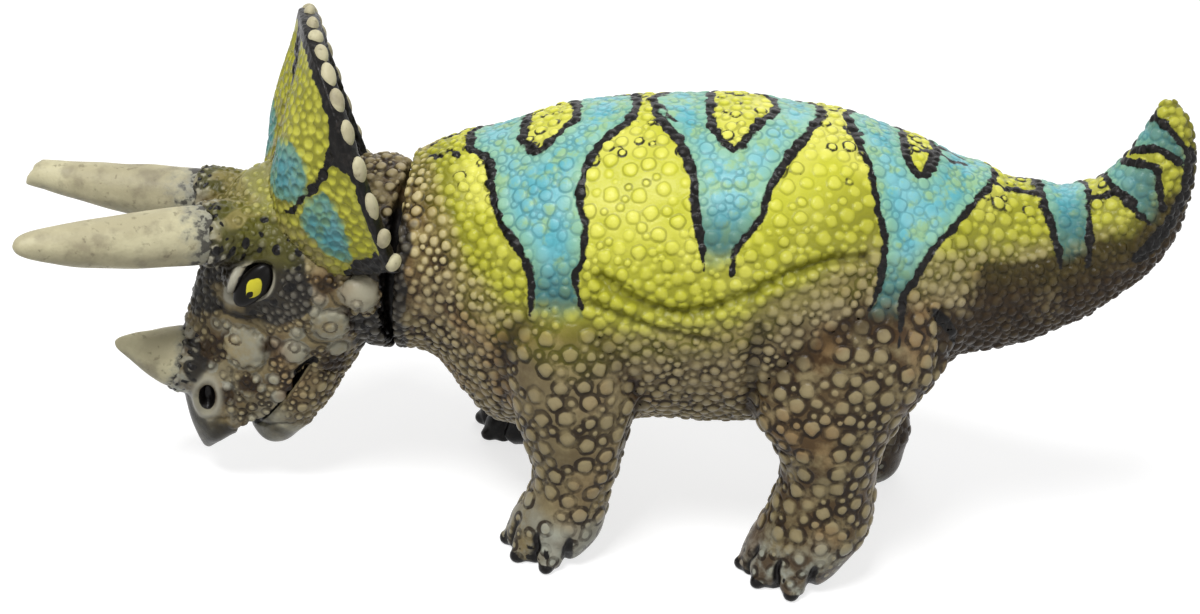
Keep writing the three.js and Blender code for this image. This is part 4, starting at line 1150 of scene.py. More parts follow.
    inBrow = outlineGap(s, t, np.array(browPaint + browPaint[:1]))
    charcoal = smoothStep(-2.6, 1.6, inBrow + 1.3 * waves(points, 5, 31))
    worn = np.exp(-((s - 28.5) / 3.4) ** 2) * smoothStep(18, 23, t) * smoothStep(41, 36, t)
    charcoal *= 1 - worn * np.clip(0.62 + 0.35 * waves(points, 4, 95), 0, 0.85)
    charcoal *= np.maximum(onSide, smoothStep(21, 27, s))
    charcoal = np.maximum(charcoal, bossness * smoothStep(-0.5, 0.3, waves(points, 6, 33)) * 0.8)
    # painted shade round the neck's joint: charcoal low behind the V of the neck, but not on the cheek's knob
    limit = math.radians(neck["limit"])
    joint = -points[:, 0] * math.cos(limit) + side * math.sin(limit)      # how far behind the V of the neck
    below = smoothStep(19, 10, points[:, 2])
    knob = muzzlePoint(cheekKnob["s"], cheekKnob["t"], np.sign(v) * cheekKnob["out"])
    onKnob = smoothStep(6.6, 5.4, np.linalg.norm(points - knob, axis=1))
    paintedShade = smoothStep(-6.5, 0.5, joint + 1.4 * waves(points, 6, 34)) * below * (1 - onKnob)
    charcoal = np.maximum(charcoal * (1 - onKnob), paintedShade)
    lengthwise = (s - eyePlace["s"]) / eyePlace["long"]
    upperLid = np.exp(-((eye - 1.3) / 0.2) ** 2) * brow * smoothStep(-1.0, -0.35, lengthwise)
    lowerLid = np.exp(-((eye - 1.16) / 0.1) ** 2) * (1 - brow) * 0.8 * smoothStep(-1.15, -0.75, lengthwise)
    lid = np.clip(1.5 * (upperLid + lowerLid) * eyeSide, 0, 1)
    black = np.maximum(smoothStep(1.12, 0.98, eye) * eyeSide, smoothStep(1.08, 0.9, nose) * noseSide)
    black = np.maximum(black, foldShade)
    # painted shade: a faint black line along the mouth
    mouthLine = smoothStep(0.8, 0.2, np.abs(t - 6.1)) * smoothStep(30, 33, s) * smoothStep(60, 52, s)
    black = np.maximum(black, mouthLine * 0.25)
    pits = smoothStep(-0.15, -0.55, waves(points, 2.2, 93)) * collar
    black = np.maximum(black, pits)
    # painted shade: black deep in the neck's joint, heaviest low down
    black = np.maximum(black, smoothStep(2.2, 3.4, joint) * (outer < 24.5) * (0.4 + 0.6 * below))
    black = np.maximum(black, charcoal * smoothStep(0.15, 0.6, waves(points, 3.4, 36)) * 0.9)
    rim = np.exp(-((nose - 1.5) / 0.35) ** 2) * noseSide
    bits = smoothStep(0.2, 0.6, waves(points, 2.2, 93)) * collar * 0.75
    pale = np.maximum(np.maximum(lid, rim * 0.8), bits)
    scaled = onScale(found, seeds, numbers)
    grey = np.clip(0.5 * smoothStep(40, 56, s) + 0.5 * collar + 0.6 * scaled, 0, 1)
    charcoal = np.maximum(charcoal, 0.56 * smoothStep(55, 61, s) * (1 - smoothStep(2.0, 1.6, nose)))
    roll = smoothStep(7, 1, points[:, 0]) * smoothStep(2, 9, points[:, 2])
    pale = np.where(pale > 0.01, pale, -roll)
    crown = np.minimum(8.0 - np.hypot(s + 5.0, (t - 37.5) * 1.1) + 1.5 * waves(points, 5, 37), 1.4)
    pale = np.maximum(pale, 0.5 * smoothStep(-2, 1, crown) * (pale > -0.1))
    charcoal *= 1 - np.clip(lid + bits, 0, 1)
    black *= 1 - 0.9 * lid
    zero = np.zeros(len(points))
    brown = np.clip(0.3 + 0.4 * smoothStep(0.1, -0.4, crowd) + 0.3 * rear - 0.5 * beak, 0, 1)
    patches = [np.exp(-(np.hypot(s - a, t - b) / wide) ** 2) for a, b, wide in facePatches]
    patch = np.max(patches, axis=0) * onSide
    brown = brown + 1.3 * patch
    ring = np.clip(0.35 + 0.75 * chance + 0.25 * waves(points, 11, 35) + 0.5 * patch, 0, 1) * height
    ring = np.where(scaled, ring * 0.45, ring)
    marks = {
        "paint": np.stack([zero - 99, zero + 99, crown], 1),
        "more": np.stack([zero - 99, brown, foldShade * 0.6], 1),
        "relief": np.stack([gap + 3 * (1 - height), dome * height, ring], 1),
        "trim": np.stack([charcoal, grey, black], 1),
        "spots": np.stack([zero, zero + 0.6, pale], 1),
    }
    onNeck = shown[quads].mean(1)[:, 0] < head["cut"]
    for name, owned in (("head_skin", ~onNeck), ("head_rear_skin", onNeck)):
        piece = skinPiece(name, toScene(toFigure(shown)), turned(normals), quads[owned], marks)
        finishHead(piece, "head")


# A piece of the head made from its own points, with its marks.
def headPiece(name, points, faces, marks, node, material=None):
    mesh = makeMesh(name, toScene(toFigure(points)), faces)
    writeMarks(mesh, marks)
    finishHead(addObject(name, mesh), node, material)


# Whether each point lies on a large scale: the pebbles whose middles are among the scales' own.
def onScale(found, seeds, numbers):
    return (found >= 0) & np.isin(seeds[np.maximum(found, 0)], numbers)


# Normals of the head's frame in the scene's.
def turned(normals):
    return toFigure(normals) - toFigure(np.zeros(3))


# Body, CAD node and material of a piece of the head.
def finishHead(piece, node, material=None):
    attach(piece, "head")
    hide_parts(node)
    piece.data.materials.append(material or skinMaterial())
    print(piece.name, len(piece.data.polygons), "faces")


# The lower jaw's skin, flat on top, with a groove behind the beak's sheath.
def makeJaw():
    points, quads, edges = fuse([jawGrid()], jaw["voxel"])
    s, t, v = muzzlePlace(points)
    top = smoothStep(4.2, 5.4, t)
    points = relax(points, edges, 0.5 - 0.4 * top, jaw["blend"])
    s, t, v = muzzlePlace(points)
    normals = skinNormals(points, quads)
    numbers, radii, heights = scaleSeeds(s, t, v, jawScales)
    height = smoothStep(54, 47, s) * (1 - smoothStep(4.9, 5.7, t))
    whole = np.ones(len(points))
    rise, gap, dome, _, _, chance = pebbleRelief(
        points, jaw["least"] * whole, jaw["largest"] * whole, 1.08 * whole, height, 0.9 * whole, jaw,
        (numbers, radii, heights))
    sheath = pathGap(s, t, smoothRows(sheathEdge, 4))
    rise = rise + 0.25 * waves(points, 8, 41) * (1 - top) - 0.5 * np.exp(-(sheath / 0.6) ** 2)
    shown = points + normals * rise[:, None]
    normals = skinNormals(shown, quads)
    zero = np.zeros(len(points))
    # painted shade: black over the flat top inside the mouth, and in the groove behind the beak's sheath
    black = np.maximum(0.7 * smoothStep(5.3, 5.8, t), 0.45 * smoothStep(0.9, 0.2, sheath))
    ring = np.clip(0.5 + 0.5 * chance, 0, 1) * height
    marks = {
        "paint": np.stack([zero - 99, zero + 99, zero - 99], 1),
        "more": np.stack([zero - 99, 0.7 * height, zero], 1),
        "relief": np.stack([gap + 3 * (1 - height), dome * height, ring], 1),
        "trim": np.stack([0.45 * smoothStep(50, 54, s), 0.6 * smoothStep(44, 52, s), black], 1),
        "spots": np.stack([zero, zero, zero], 1),
    }
    piece = skinPiece("jaw_skin", toScene(toFigure(shown)), turned(normals), quads, marks)
    finishHead(piece, "lower_jaw")


# Frill

frill = {
    "turns": 420, "outs": 96,
    "seed": 9, "places": 16000, "domeShare": 0.36,
    "rimRoll": 4.6,       # thickness of the rolled rim
    "perDegree": 0.62, "across": 44.0,      # millimetres of the unrolled fan
}
# Painted areas of one half: degrees from the top, share of the way out to the rim.
frillAreas = {
    "yellow": [
        [(9, 0.56), (12, 0.74), (16, 0.86), (25, 0.92), (40, 0.92), (51, 0.91), (57, 0.83), (60, 0.73),
         (59, 0.65), (52, 0.64), (45, 0.64), (31, 0.55), (18, 0.50)],
        [(64, 0.88), (71, 0.965), (80, 0.97), (88, 0.95), (93, 0.86), (95, 0.66), (88, 0.61), (77, 0.71),
         (66, 0.71)],
    ],
    "blue": [
        [(10, 0.22), (16, 0.38), (30, 0.48), (45, 0.62), (56, 0.60), (59, 0.42), (48, 0.25), (24, 0.14)],
        [(65, 0.65), (77, 0.66), (88, 0.57), (94, 0.50), (93, 0.36), (80, 0.22), (63, 0.24), (61, 0.42)],
    ],
    "black": [
        [(51, 0.97), (57, 0.88), (60, 0.76), (62.5, 0.86), (68, 0.97)],
    ],
    "lines": [
        [(-4, 1.0), (3, 0.85), (8, 0.72), (3, 0.55), (1, 0.42), (3, 0.25), (0, 0.10)],
        [(57, 0.92), (60, 0.80), (62, 0.68), (60, 0.50), (56, 0.30), (50, 0.20)],
        [(104, 0.18), (98, 0.34), (97, 0.55), (98, 0.75), (96, 0.92)],
    ],
}


# Places on the fan unrolled to a plane: degrees times perDegree, share of the way out times across.
def unroll(places, steps, closed=False):
    line = list(places) + ([places[0]] if closed else [])
    return smoothRows(line, steps)[:, :2] * (frill["perDegree"], frill["across"])


# A closed ring round the fan's section for each turn: out along the front, round the rolled rim, back
# along the rear. Half thickness runs from root to rim and swells to the roll near the rim.
def makeFrill():
    f = frillForm
    span = math.radians(f["span"])
    turn = np.linspace(-span, span, frill["turns"])
    lie = np.linspace(0, 1, frill["outs"])
    bend = np.linspace(0, np.pi, 19)[1:-1]
    out = np.concatenate([lie, np.full(len(bend), 1.0), lie[::-1]])
    thick = np.concatenate([np.ones(len(lie)), np.cos(bend), -np.ones(len(lie))])
    over = np.concatenate([0 * lie, np.sin(bend), 0 * lie])
    turns, outs = np.meshgrid(turn, out, indexing="ij")
    half = (f["thickness"][0] + (f["thickness"][1] - f["thickness"][0]) * outs) / 2
    roll = smoothStep(0.8, 0.97, outs)
    half = half * (1 - roll) + frill["rimRoll"] / 2 * roll
    end = np.sqrt(np.clip(1 - (np.abs(turns) / span) ** 30, 0.02, 1))   # round the two lower ends
    middle = frillPoint(turns, outs)
    outward = frillPoint(turns, outs + 0.01) - frillPoint(turns, outs - 0.01)
    outward /= np.linalg.norm(outward, axis=-1)[..., None]
    around = frillPoint(turns + 0.01, outs) - frillPoint(turns - 0.01, outs)
    front = np.cross(outward, around)
    front /= np.linalg.norm(front, axis=-1)[..., None]
    front *= np.sign(front[..., :1])
    shrink = 0.4 + 1.5 * np.exp(-(turns / 0.5) ** 2)
    lift = half * over * 0.4 - shrink * outs ** 3
    grid = middle + front * (half * thick * end)[..., None] + outward * lift[..., None]
    points, quads, fans = closeGrid(grid)
    count = len(points) - 2
    turnFlat = np.concatenate([np.degrees(turns).ravel(), [-f["span"], f["span"]]])
    outFlat = np.concatenate([outs.ravel(), [0.5, 0.5]])
    facing = np.concatenate([(thick + 0 * turns).ravel(), [0, 0]])
    normals = skinNormals(points, quads)

    least = np.full(len(points), 0.7)
    largest = 1.35 - 0.4 * smoothStep(0.8, 0.95, outFlat)
    height = 1 - 0.75 * smoothStep(0.84, 0.93, outFlat)
    height[count:] = 0
    rise, gap, dome, found, seeds, chance = pebbleRelief(
        points, least, largest, np.full(len(points), 0.98), height, np.full(len(points), 0.7), frill)
    print("frill pebbles:", len(seeds))
    shown = points + normals * (rise + 0.25 * waves(points, 10, 51))[:, None]
    normals = skinNormals(shown, quads)

    fromTop = np.abs(turnFlat)
    wide, tall = frill["perDegree"], frill["across"]
    x, y = fromTop * wide, outFlat * tall
    areas = lambda name: np.max([outlineGap(x, y, unroll(c, 3, True)) for c in frillAreas[name]], axis=0)
    yellow = areas("yellow")
    blue = areas("blue")
    line = np.minimum(pathGap(turnFlat * wide, y, unroll(frillAreas["lines"][0], 4)),
                      np.min([pathGap(x, y, unroll(c, 4)) for c in frillAreas["lines"][1:]], axis=0))
    line += 0.2
    line = np.minimum(line, 0.9 - areas("black"))
    rimShare = 0.95 + 0.025 * smoothStep(52, 66, fromTop)
    border = (outFlat - rimShare) * tall - 0.5 * waves(points, 5, 53)
    # a black wedge at the top of the middle, and another at each lower end
    top = 6.0 - fromTop * wide - 32 * np.clip(0.78 - outFlat, 0, 1)
    lower = (fromTop - 97.5) * wide - 30 * np.clip(0.3 - outFlat, 0, 1)
    dark = np.maximum(np.maximum(border, top), lower)
    rear = facing < 0.2
    line = np.where(rear, 99, np.minimum(line, 1.0 - dark))
    line = np.where(rear & (border + 13 > 0.5 + waves(points, 9, 57)), 0, line)
    blue = np.where(rear, -99, blue)
    pale = smoothStep(-0.1, 0.2, outFlat + 0.06 * waves(points, 8, 55)) * smoothStep(80, 50, fromTop)
    pale += smoothStep(0.05, 0.3, outFlat) * smoothStep(50, 80, fromTop)
    yellow = np.where(rear, -6 + 12 * smoothStep(0.35, 0.8, outFlat), np.maximum(yellow, -1.8 + 4.0 * pale))
    whole = np.where(found >= 0, smoothStep(0.25, -0.15, gap), 0) * 0.7
    atMiddle = seeds[np.maximum(found, 0)]
    blue, line, yellow = (d + (d[atMiddle] - d) * whole for d in (blue, line, yellow))
    zero = np.zeros(len(points))
    root = smoothStep(0.14, 0.02, outFlat)
    marks = {
        "paint": np.stack([blue, line, np.where(rear, yellow, np.clip(yellow + 7 * (outFlat > 0.5), -99, 4))],
                          1),
        "more": np.stack([zero + 9.5, np.where(rear, 0.8, 0.5 * root), zero], 1),
        "relief": np.stack([gap, dome, np.clip(0.3 + 0.6 * chance, 0, 1)], 1),
        "trim": np.stack([zero, zero, zero], 1),
        "spots": np.stack([zero, zero, zero], 1),
    }
    headPiece("frill_fan", shown, [quads, fans], marks, "frill")
    makeStuds()


# The pale studs along the rim: flattened domes, from the top down to each lower end.
studs = {
    # degrees from the top, size along the rim, size across it
    "sizes": [(8, 4.2, 2.8), (18, 3.8, 3.6), (27.5, 4.6, 3.7), (37, 6.0, 4.3), (47, 6.2, 4.1),
              (58, 6.2, 4.1), (70, 6.0, 4.4), (82, 6.9, 4.5), (93, 4.9, 4.6), (102, 4.2, 4.6)],
    "high": 3.6,
    "lift": 0.1,          # how far a stud's middle stands outside the rim
}


# Ellipsoids turned to the rim's own directions, and lifted a little off it. Near the top they sink with
# the rim by 1.5 exp(-(turn / 0.5)^2).
def makeStuds():
    rng = np.random.default_rng(14)
    grids = []
    for side in (-1, 1):
        for degrees, length, width in studs["sizes"]:
            turn = side * math.radians(degrees)
            outward = frillPoint(turn, 1.0) - frillPoint(turn, 0.9)
            outward /= np.linalg.norm(outward)
            along = frillPoint(turn + 0.02, 1.0) - frillPoint(turn - 0.02, 1.0)
            along /= np.linalg.norm(along)
            across = np.cross(outward, along)
            sizes = np.array([length, width, studs["high"]]) * rng.uniform(0.94, 1.06, 3)
            lift = studs["lift"] - 1.5 * math.exp(-(turn / 0.5) ** 2)
            middle = frillPoint(turn, 1.0) + outward * lift
            grids.append(eggGrid(sizes, middle, [along, across, outward], 30))
    points, quads, fans, count = [], [], [], 0
    for grid in grids:
        own, four, three = closeGrid(grid)
        points.append(own)
        quads.append(four + count)
        fans.append(three + count)
        count += len(own)
    points = np.concatenate(points)
    points += 0.16 * waves(points, 3.5, 61)[:, None] * np.array([0.4, 0.6, 0.6])
    faces = [np.concatenate(quads), np.concatenate(fans)]
    headPiece("frill_studs", points, faces, {}, "frill", boneMaterial())


# Horns and eyes

hornShares = {
    "left_brow_horn": [(0, 1.0), (0.15, 0.99), (0.35, 0.93), (0.55, 0.82), (0.75, 0.66), (0.88, 0.5),
                       (0.95, 0.36), (0.985, 0.22), (1, 0.04)],
    "right_brow_horn": [(0, 1.0), (0.15, 0.98), (0.35, 0.9), (0.55, 0.78), (0.75, 0.64), (0.9, 0.52),
                        (0.965, 0.47), (0.985, 0.4), (0.996, 0.24), (1, 0.03)],
    "nose_horn": [(0, 1.0), (0.15, 0.95), (0.35, 0.8), (0.6, 0.57), (0.82, 0.34), (0.95, 0.18), (1, 0.04)],
}


# Circles along the horn: middle = root + ahead * a - up * bow * sin(pi a), a from 0 at the root to 1.
def makeHorns():
    for name, horn in horns.items():
        table = smoothRows(hornShares[name], 14)
        ahead, side, up = hornFrame(horn)
        along = np.concatenate([[-0.3 / horn["length"], 0], table[:, 0]])
        wide = np.concatenate([[0.8, 0.97], np.maximum(table[:, 1], 0.02)]) * horn["radius"]
        middles = np.asarray(horn["root"]) + ahead * (0.3 + along * horn["length"])[:, None]
        middles = middles - up * (np.sin(np.pi * np.clip(along, 0, 1)) * horn["bow"])[:, None]
        grid = sweep(middles, wide[:, None] * side, wide[:, None] * up, 96)
        points, quads, fans = closeGrid(grid)
        normals = skinNormals(points, quads)
        stretched = points - (points @ ahead)[:, None] * ahead * 0.75      # grooves run along the horn
        grooves = 0.13 * waves(stretched, 3.2, 71) + 0.2 * waves(points, 13, 72)
        points = points + normals * grooves[:, None]
        place = np.concatenate([np.repeat(along, 96), [0, 1]])
        cutOff = name == "right_brow_horn"
        if cutOff:      # a slanted tip, with a ragged point left below
            slant = (points - middles[-1]) @ up / horn["radius"] * 3.4
            lost = smoothStep(0.9, 0.99, place) * (slant + 0.5 * waves(points, 2.5, 74))
            points = points - ahead * lost[:, None]
        # painted shade: darker on the undersides, and on the far horn from its root to past its middle
        under = smoothStep(0.1, -0.9, normals @ up)
        hornShade = under * (0.75 + 0.5 * waves(points, 12, 73)) + cutOff * 0.8 * smoothStep(0.75, 0.3, place)
        marks = {"relief": np.stack([place, hornShade, 0 * place], 1)}
        headPiece(name + "_bone", points, [quads, fans], marks, name, boneMaterial())


# Longer and lower than the opening by these, its thickness, and how deep its middle lies.
eyeBead = {"longer": 0.4, "lower": 0.2, "thick": 4.6, "sunk": 1.5}


# Each bead lies in its socket: an ellipsoid on the skin's own normal there.
def makeEyes():
    tilt = math.radians(eyePlace["tilt"])
    for side, name in ((1, "left_eye"), (-1, "right_eye")):
        place, out = eyePlace[side]
        out = out / np.linalg.norm(out)
        long = muzzlePoint(math.cos(tilt), math.sin(tilt), 0)
        long = long - out * (long @ out)
        long /= np.linalg.norm(long)
        short = np.cross(out, long)
        short *= np.sign(short @ muzzlePoint(0, 1, 0))
        place = place - out * eyeBead["sunk"]
        sizes = (2 * eyePlace["long"] + eyeBead["longer"], 2 * eyePlace["short"] - eyeBead["lower"],
                 eyeBead["thick"])
        grid = eggGrid(sizes, place, [long, short, out], 64)
        points, quads, fans = closeGrid(grid)
        a, b, c = ((points - place) @ axis for axis in (long, short, out))
        marks = {"relief": np.stack([a, b, c], 1)}
        headPiece(name + "_bead", points, [quads, fans], marks, name, eyeMaterial())


# Materials

# The two darkest browns are both the toy's wash and painted shade; one of the bone colours is painted shade
# under the horns.
colours = {
    "taupe": "#837655", "taupeLight": "#998C68", "taupeTop": "#B3A580", "umber": "#685A40",
    "rust": "#80582E", "wash": "#45311A", "darkWashAndCreaseShade": "#23180D",
    "yellow": "#CFD040", "lemon": "#E4E266", "olive": "#9C9A2C", "moss": "#6B6A1C",
    "blue": "#5FB0BC", "skyBlue": "#88C6CC", "deepBlue": "#33707A", "leaf": "#9CC183", "teal": "#416560",
    "black": "#0F0D0C", "blackWorn": "#2A2623", "charcoal": "#413E39",
    "ochre": "#B3A167", "cream": "#D2C392", "deepWashAndShade": "#342612", "charcoalTop": "#716F66",
    "grey": "#A2A497", "paleGrey": "#A8A493",
    "bone": "#B4AC8C", "boneLight": "#CAC3A0", "boneDull": "#89806A", "boneSpot": "#625A47",
    "boneShade": "#7D7664", "boneRoot": "#83857E", "bonePit": "#2C2825",
    "iris": "#D6CC3C", "pupil": "#1B1712",
}


# A colour as the shaders take it: each of the hex value's parts, made linear.
def linear(name):
    parts = [int(colours[name][i:i + 2], 16) / 255 for i in (1, 3, 5)]
    return tuple(p / 12.92 if p <= 0.04045 else ((p + 0.055) / 1.055) ** 2.4 for p in parts) + (1.0,)


# A small helper that adds nodes and links to a tree: inputs are values or other nodes' outputs.
class Tree:
    def __init__(self, tree):
        self.tree = tree

    # A node of a kind with its settings, then its inputs by name or number.
    def node(self, kind, inputs=None, **settings):
        made = self.tree.nodes.new(kind)
        for key, value in settings.items():
            setattr(made, key, value)
        for key, value in (inputs or {}).items():
            socket = made.inputs[key]
            if isinstance(value, bpy.types.NodeSocket):
                self.tree.links.new(value, socket)
            else:
                socket.default_value = value
        return made

    # The three values of a mark of the mesh.
    def attribute(self, label):
        vector = self.node("ShaderNodeAttribute", attribute_name=label).outputs["Vector"]
        return self.node("ShaderNodeSeparateXYZ", {0: vector}).outputs

    # Arithmetic on values: times, plus, minus and larger name the kinds used most.
    def math(self, operation, *values, clamp=False):
        return self.node("ShaderNodeMath", dict(enumerate(values)), operation=operation,
                         use_clamp=clamp).outputs[0]

    def times(self, a, b, clamp=False):
        return self.math("MULTIPLY", a, b, clamp=clamp)

    def plus(self, a, b):
        return self.math("ADD", a, b)

    def minus(self, a, b):
        return self.math("SUBTRACT", a, b)

    def larger(self, a, b):
        return self.math("MAXIMUM", a, b)

    # Smooth step of a value between two others.
    def step(self, value, low, high):
        inputs = {"Value": value, "From Min": low, "From Max": high}
        return self.node("ShaderNodeMapRange", inputs, interpolation_type="SMOOTHSTEP").outputs[0]

    # a (1 - share) + b share, for colours: a and b are names or other nodes' outputs.
    def mix(self, share, a, b):
        a, b = (linear(colour) if isinstance(colour, str) else colour for colour in (a, b))
        return self.node("ShaderNodeMix", {0: share, 6: a, 7: b}, data_type="RGBA").outputs[2]

    # Noise from 0 to 1 whose lumps are about size millimetres wide.
    def noise(self, place, size, detail, offset=0.0):
        moved = self.node("ShaderNodeVectorMath", {0: place, 1: (offset, offset, offset)},
                          operation="ADD").outputs[0]
        inputs = {"Vector": moved, "Scale": 1 / size, "Detail": detail, "Roughness": 0.55}
        return self.node("ShaderNodeTexNoise", inputs).outputs[0]


# The figure's paint, painted shade included. Outputs: colour, roughness and a height in millimetres for the
# bump.
def paintGroup():
    if "skinPaint" in bpy.data.node_groups:
        return bpy.data.node_groups["skinPaint"]
    group = bpy.data.node_groups.new("skinPaint", "ShaderNodeTree")
    for label in ("paint", "more", "relief", "trim", "spots", "place"):
        group.interface.new_socket(label, in_out="INPUT", socket_type="NodeSocketVector")
    group.interface.new_socket("colour", in_out="OUTPUT", socket_type="NodeSocketColor")
    group.interface.new_socket("roughness", in_out="OUTPUT", socket_type="NodeSocketFloat")
    group.interface.new_socket("height", in_out="OUTPUT", socket_type="NodeSocketFloat")
    t = Tree(group)
    given = t.node("NodeGroupInput")
    place = given.outputs["place"]
    split = lambda label: t.node("ShaderNodeSeparateXYZ", {0: given.outputs[label]}).outputs
    blue, line, yellow = split("paint")
    blueLow, brown, crease = split("more")
    gap, dome, ring = split("relief")
    charcoal, grey, dark = split("trim")
    spotted, legness, pale = split("spots")

    soft = t.noise(place, 16, 3)
    speck = t.noise(place, 1.6, 3, 7)
    rough = t.noise(place, 4.5, 3, 13)
    wobble = t.times(t.minus(rough, 0.5), 3.0)
    fleck = t.times(t.minus(speck, 0.5), 1.6)
    ringWide = t.times(legness, 0.24)
    ringAway = t.math("ABSOLUTE", t.minus(gap, t.plus(0.12, t.times(legness, 0.16))))
    edgeBand = t.minus(1.0, t.step(t.minus(ringAway, ringWide), 0.12, 0.42))
    between = t.step(gap, -0.3, 0.3)
    broken = t.plus(0.25, t.times(t.step(rough, 0.36, 0.56), 0.75))

    # bare vinyl: lighter on the pebbles, with a dark brown ring round each and a brown wash between them
    base = t.mix(t.step(soft, 0.36, 0.66), "taupe", "taupeLight")
    base = t.mix(t.times(t.step(speck, 0.45, 0.75), 0.35), base, "umber")
    bright = t.times(pale, -1.0, clamp=True)
    base = t.mix(t.times(bright, 0.78), base, "ochre")
    top = t.plus(t.minus(0.62, t.times(legness, 0.3)), t.times(bright, 0.3))
    base = t.mix(t.times(t.step(dome, 0.6, 1.0), top, clamp=True), base, "taupeTop")
    base = t.mix(t.times(t.times(t.step(dome, 0.5, 0.9), bright), 0.72), base, "cream")
    base = t.mix(t.times(grey, t.step(t.plus(soft, t.times(fleck, 0.2)), 0.3, 0.5)), base, "grey")
    stain = t.times(brown, t.times(between, t.step(rough, 0.3, 0.6)))
    base = t.mix(t.times(brown, t.times(t.step(soft, 0.48, 0.66), 0.5), clamp=True), base, "rust")
    base = t.mix(t.times(stain, 0.9, clamp=True), base, "wash")
    hollow = t.plus(t.times(between, 0.2), t.times(t.step(rough, 0.4, 0.6), 0.12))
    # the darkest brown: a wash in the face's patches, and painted shade under the rump and tail and where the
    # legs meet the trunk
    deepWashAndShade = t.times(t.step(brown, 1.0, 1.6), t.plus(0.92, hollow), clamp=True)
    base = t.mix(deepWashAndShade, base, "deepWashAndShade")
    rim = t.times(t.times(edgeBand, ring), broken)
    base = t.mix(t.times(rim, 0.92, clamp=True), base, "darkWashAndCreaseShade")
    # charcoal paint over the brow and the horns' bosses, and painted shade round the neck's joint
    covered = t.step(t.plus(charcoal, t.times(wobble, 0.12)), 0.25, 0.6)
    charcoalCover = t.mix(t.times(t.step(dome, 0.6, 1.0), 0.55), "charcoal", "charcoalTop")
    charcoalCover = t.mix(t.times(between, 0.85), charcoalCover, "black")
    base = t.mix(t.times(covered, 0.92), base, charcoalCover)
    base = t.mix(pale, base, "paleGrey")

    # yellow: bright on the pebbles, olive in the ditches low down
    edge = t.plus(yellow, t.times(t.minus(soft, 0.5), 12.0))
    yellowIn = t.step(t.plus(edge, wobble), -3.5, 4.5)
    lower = t.step(edge, 26.0, 3.0)
    tone = t.mix(t.step(soft, 0.4, 0.62), "yellow", "lemon")
    tone = t.mix(t.times(t.step(dome, 0.5, 1.0), 0.5), tone, "lemon")
    tone = t.mix(t.times(lower, 0.62), tone, "olive")
    shade = t.times(between, t.plus(0.12, t.times(lower, 0.55)))
    tone = t.mix(t.larger(shade, t.times(edgeBand, t.times(ring, 0.5))), tone, "moss")
    mist = t.times(t.step(t.plus(edge, wobble), -15.0, -3.0), t.minus(1.0, yellowIn))
    mist = t.times(mist, t.minus(0.26, t.times(deepWashAndShade, 0.2)))
    colour = t.mix(mist, base, "olive")
    colour = t.mix(yellowIn, colour, tone)

    # blue: green where it was sprayed over the yellow at its edges, greyer low down
    blueIn = t.step(t.plus(blue, fleck), -0.6, 1.0)
    low = t.step(t.plus(blueLow, t.times(wobble, 2.0)), -3.0, 5.0)
    blueIn = t.times(blueIn, low)
    sky = t.mix(t.step(soft, 0.38, 0.62), "blue", "skyBlue")
    green = t.larger(t.times(t.step(blue, 5.5, 0.8), 0.8), t.step(rough, 0.46, 0.64))
    sky = t.mix(t.times(green, 0.8), sky, "leaf")
    sky = t.mix(t.times(t.step(blueLow, 18.0, 3.0), 0.85), sky, "teal")
    sky = t.mix(t.times(t.times(edgeBand, ring), 0.5), sky, "deepBlue")
    colour = t.mix(blueIn, colour, sky)

    # black lines, broken into beads by the pebbles, and black arcs round a few pebbles near the spine
    blackness = t.plus(line, t.plus(t.times(fleck, 0.6), t.times(wobble, 0.5)))
    blackness = t.step(blackness, 1.35, 0.95)
    arcs = t.times(t.times(edgeBand, spotted), t.step(rough, 0.44, 0.5))
    # painted shade in the creases and folds: dark brown, moss over the yellow
    creased = t.times(t.step(crease, 0.2, 0.9), 0.55)
    paintedShade = t.mix(yellowIn, "darkWashAndCreaseShade", "moss")
    colour = t.mix(creased, colour, paintedShade)
    arcs = t.times(arcs, t.step(blue, 1.5, -0.5))
    blackness = t.larger(blackness, t.times(arcs, 0.95))
    # black marks of the trim: claws and splits on the feet, and painted shade in black on the far forefoot, in
    # the neck's joint, in the face's folds and along the mouth
    spots = t.step(t.plus(dark, t.times(fleck, 0.15)), 0.3, 0.65)
    blackened = t.mix(t.step(speck, 0.5, 0.75), "black", "blackWorn")
    colour = t.mix(t.larger(blackness, spots), colour, blackened)

    shine = t.plus(0.22, t.times(speck, 0.18))
    height = t.times(t.noise(place, 0.5, 4, 3), 0.09)
    t.node("NodeGroupOutput", {"colour": colour, "roughness": shine, "height": height})
    return group


# Object coordinates in millimetres.
def objectPlace(t):
    place = t.node("ShaderNodeTexCoord").outputs["Object"]
    return t.node("ShaderNodeVectorMath", {0: place, 1: (1000, 1000, 1000)}, operation="MULTIPLY").outputs[0]


# One Principled shader, with a bump from a height in millimetres.
def finishMaterial(t, colour, roughness, height=None, specular=0.3):
    inputs = {"Base Color": colour, "Roughness": roughness, "Specular IOR Level": specular}
    if height is not None:
        bump = t.node("ShaderNodeBump", {"Height": height, "Strength": 1.0, "Distance": 0.001})
        inputs["Normal"] = bump.outputs["Normal"]
    shader = t.node("ShaderNodeBsdfPrincipled", inputs)
    t.node("ShaderNodeOutputMaterial", {"Surface": shader.outputs[0]})


# The material of a name: its nodes are filled in the first time it is asked for.
def namedMaterial(name, fill):
    if name not in bpy.data.materials:
        material = bpy.data.materials.new(name)
        material.use_nodes = True
        material.node_tree.nodes.clear()
        fill(Tree(material.node_tree))
    return bpy.data.materials[name]


# The figure's painted vinyl.
def skinMaterial():
    return namedMaterial("paintedVinyl", fillSkin)


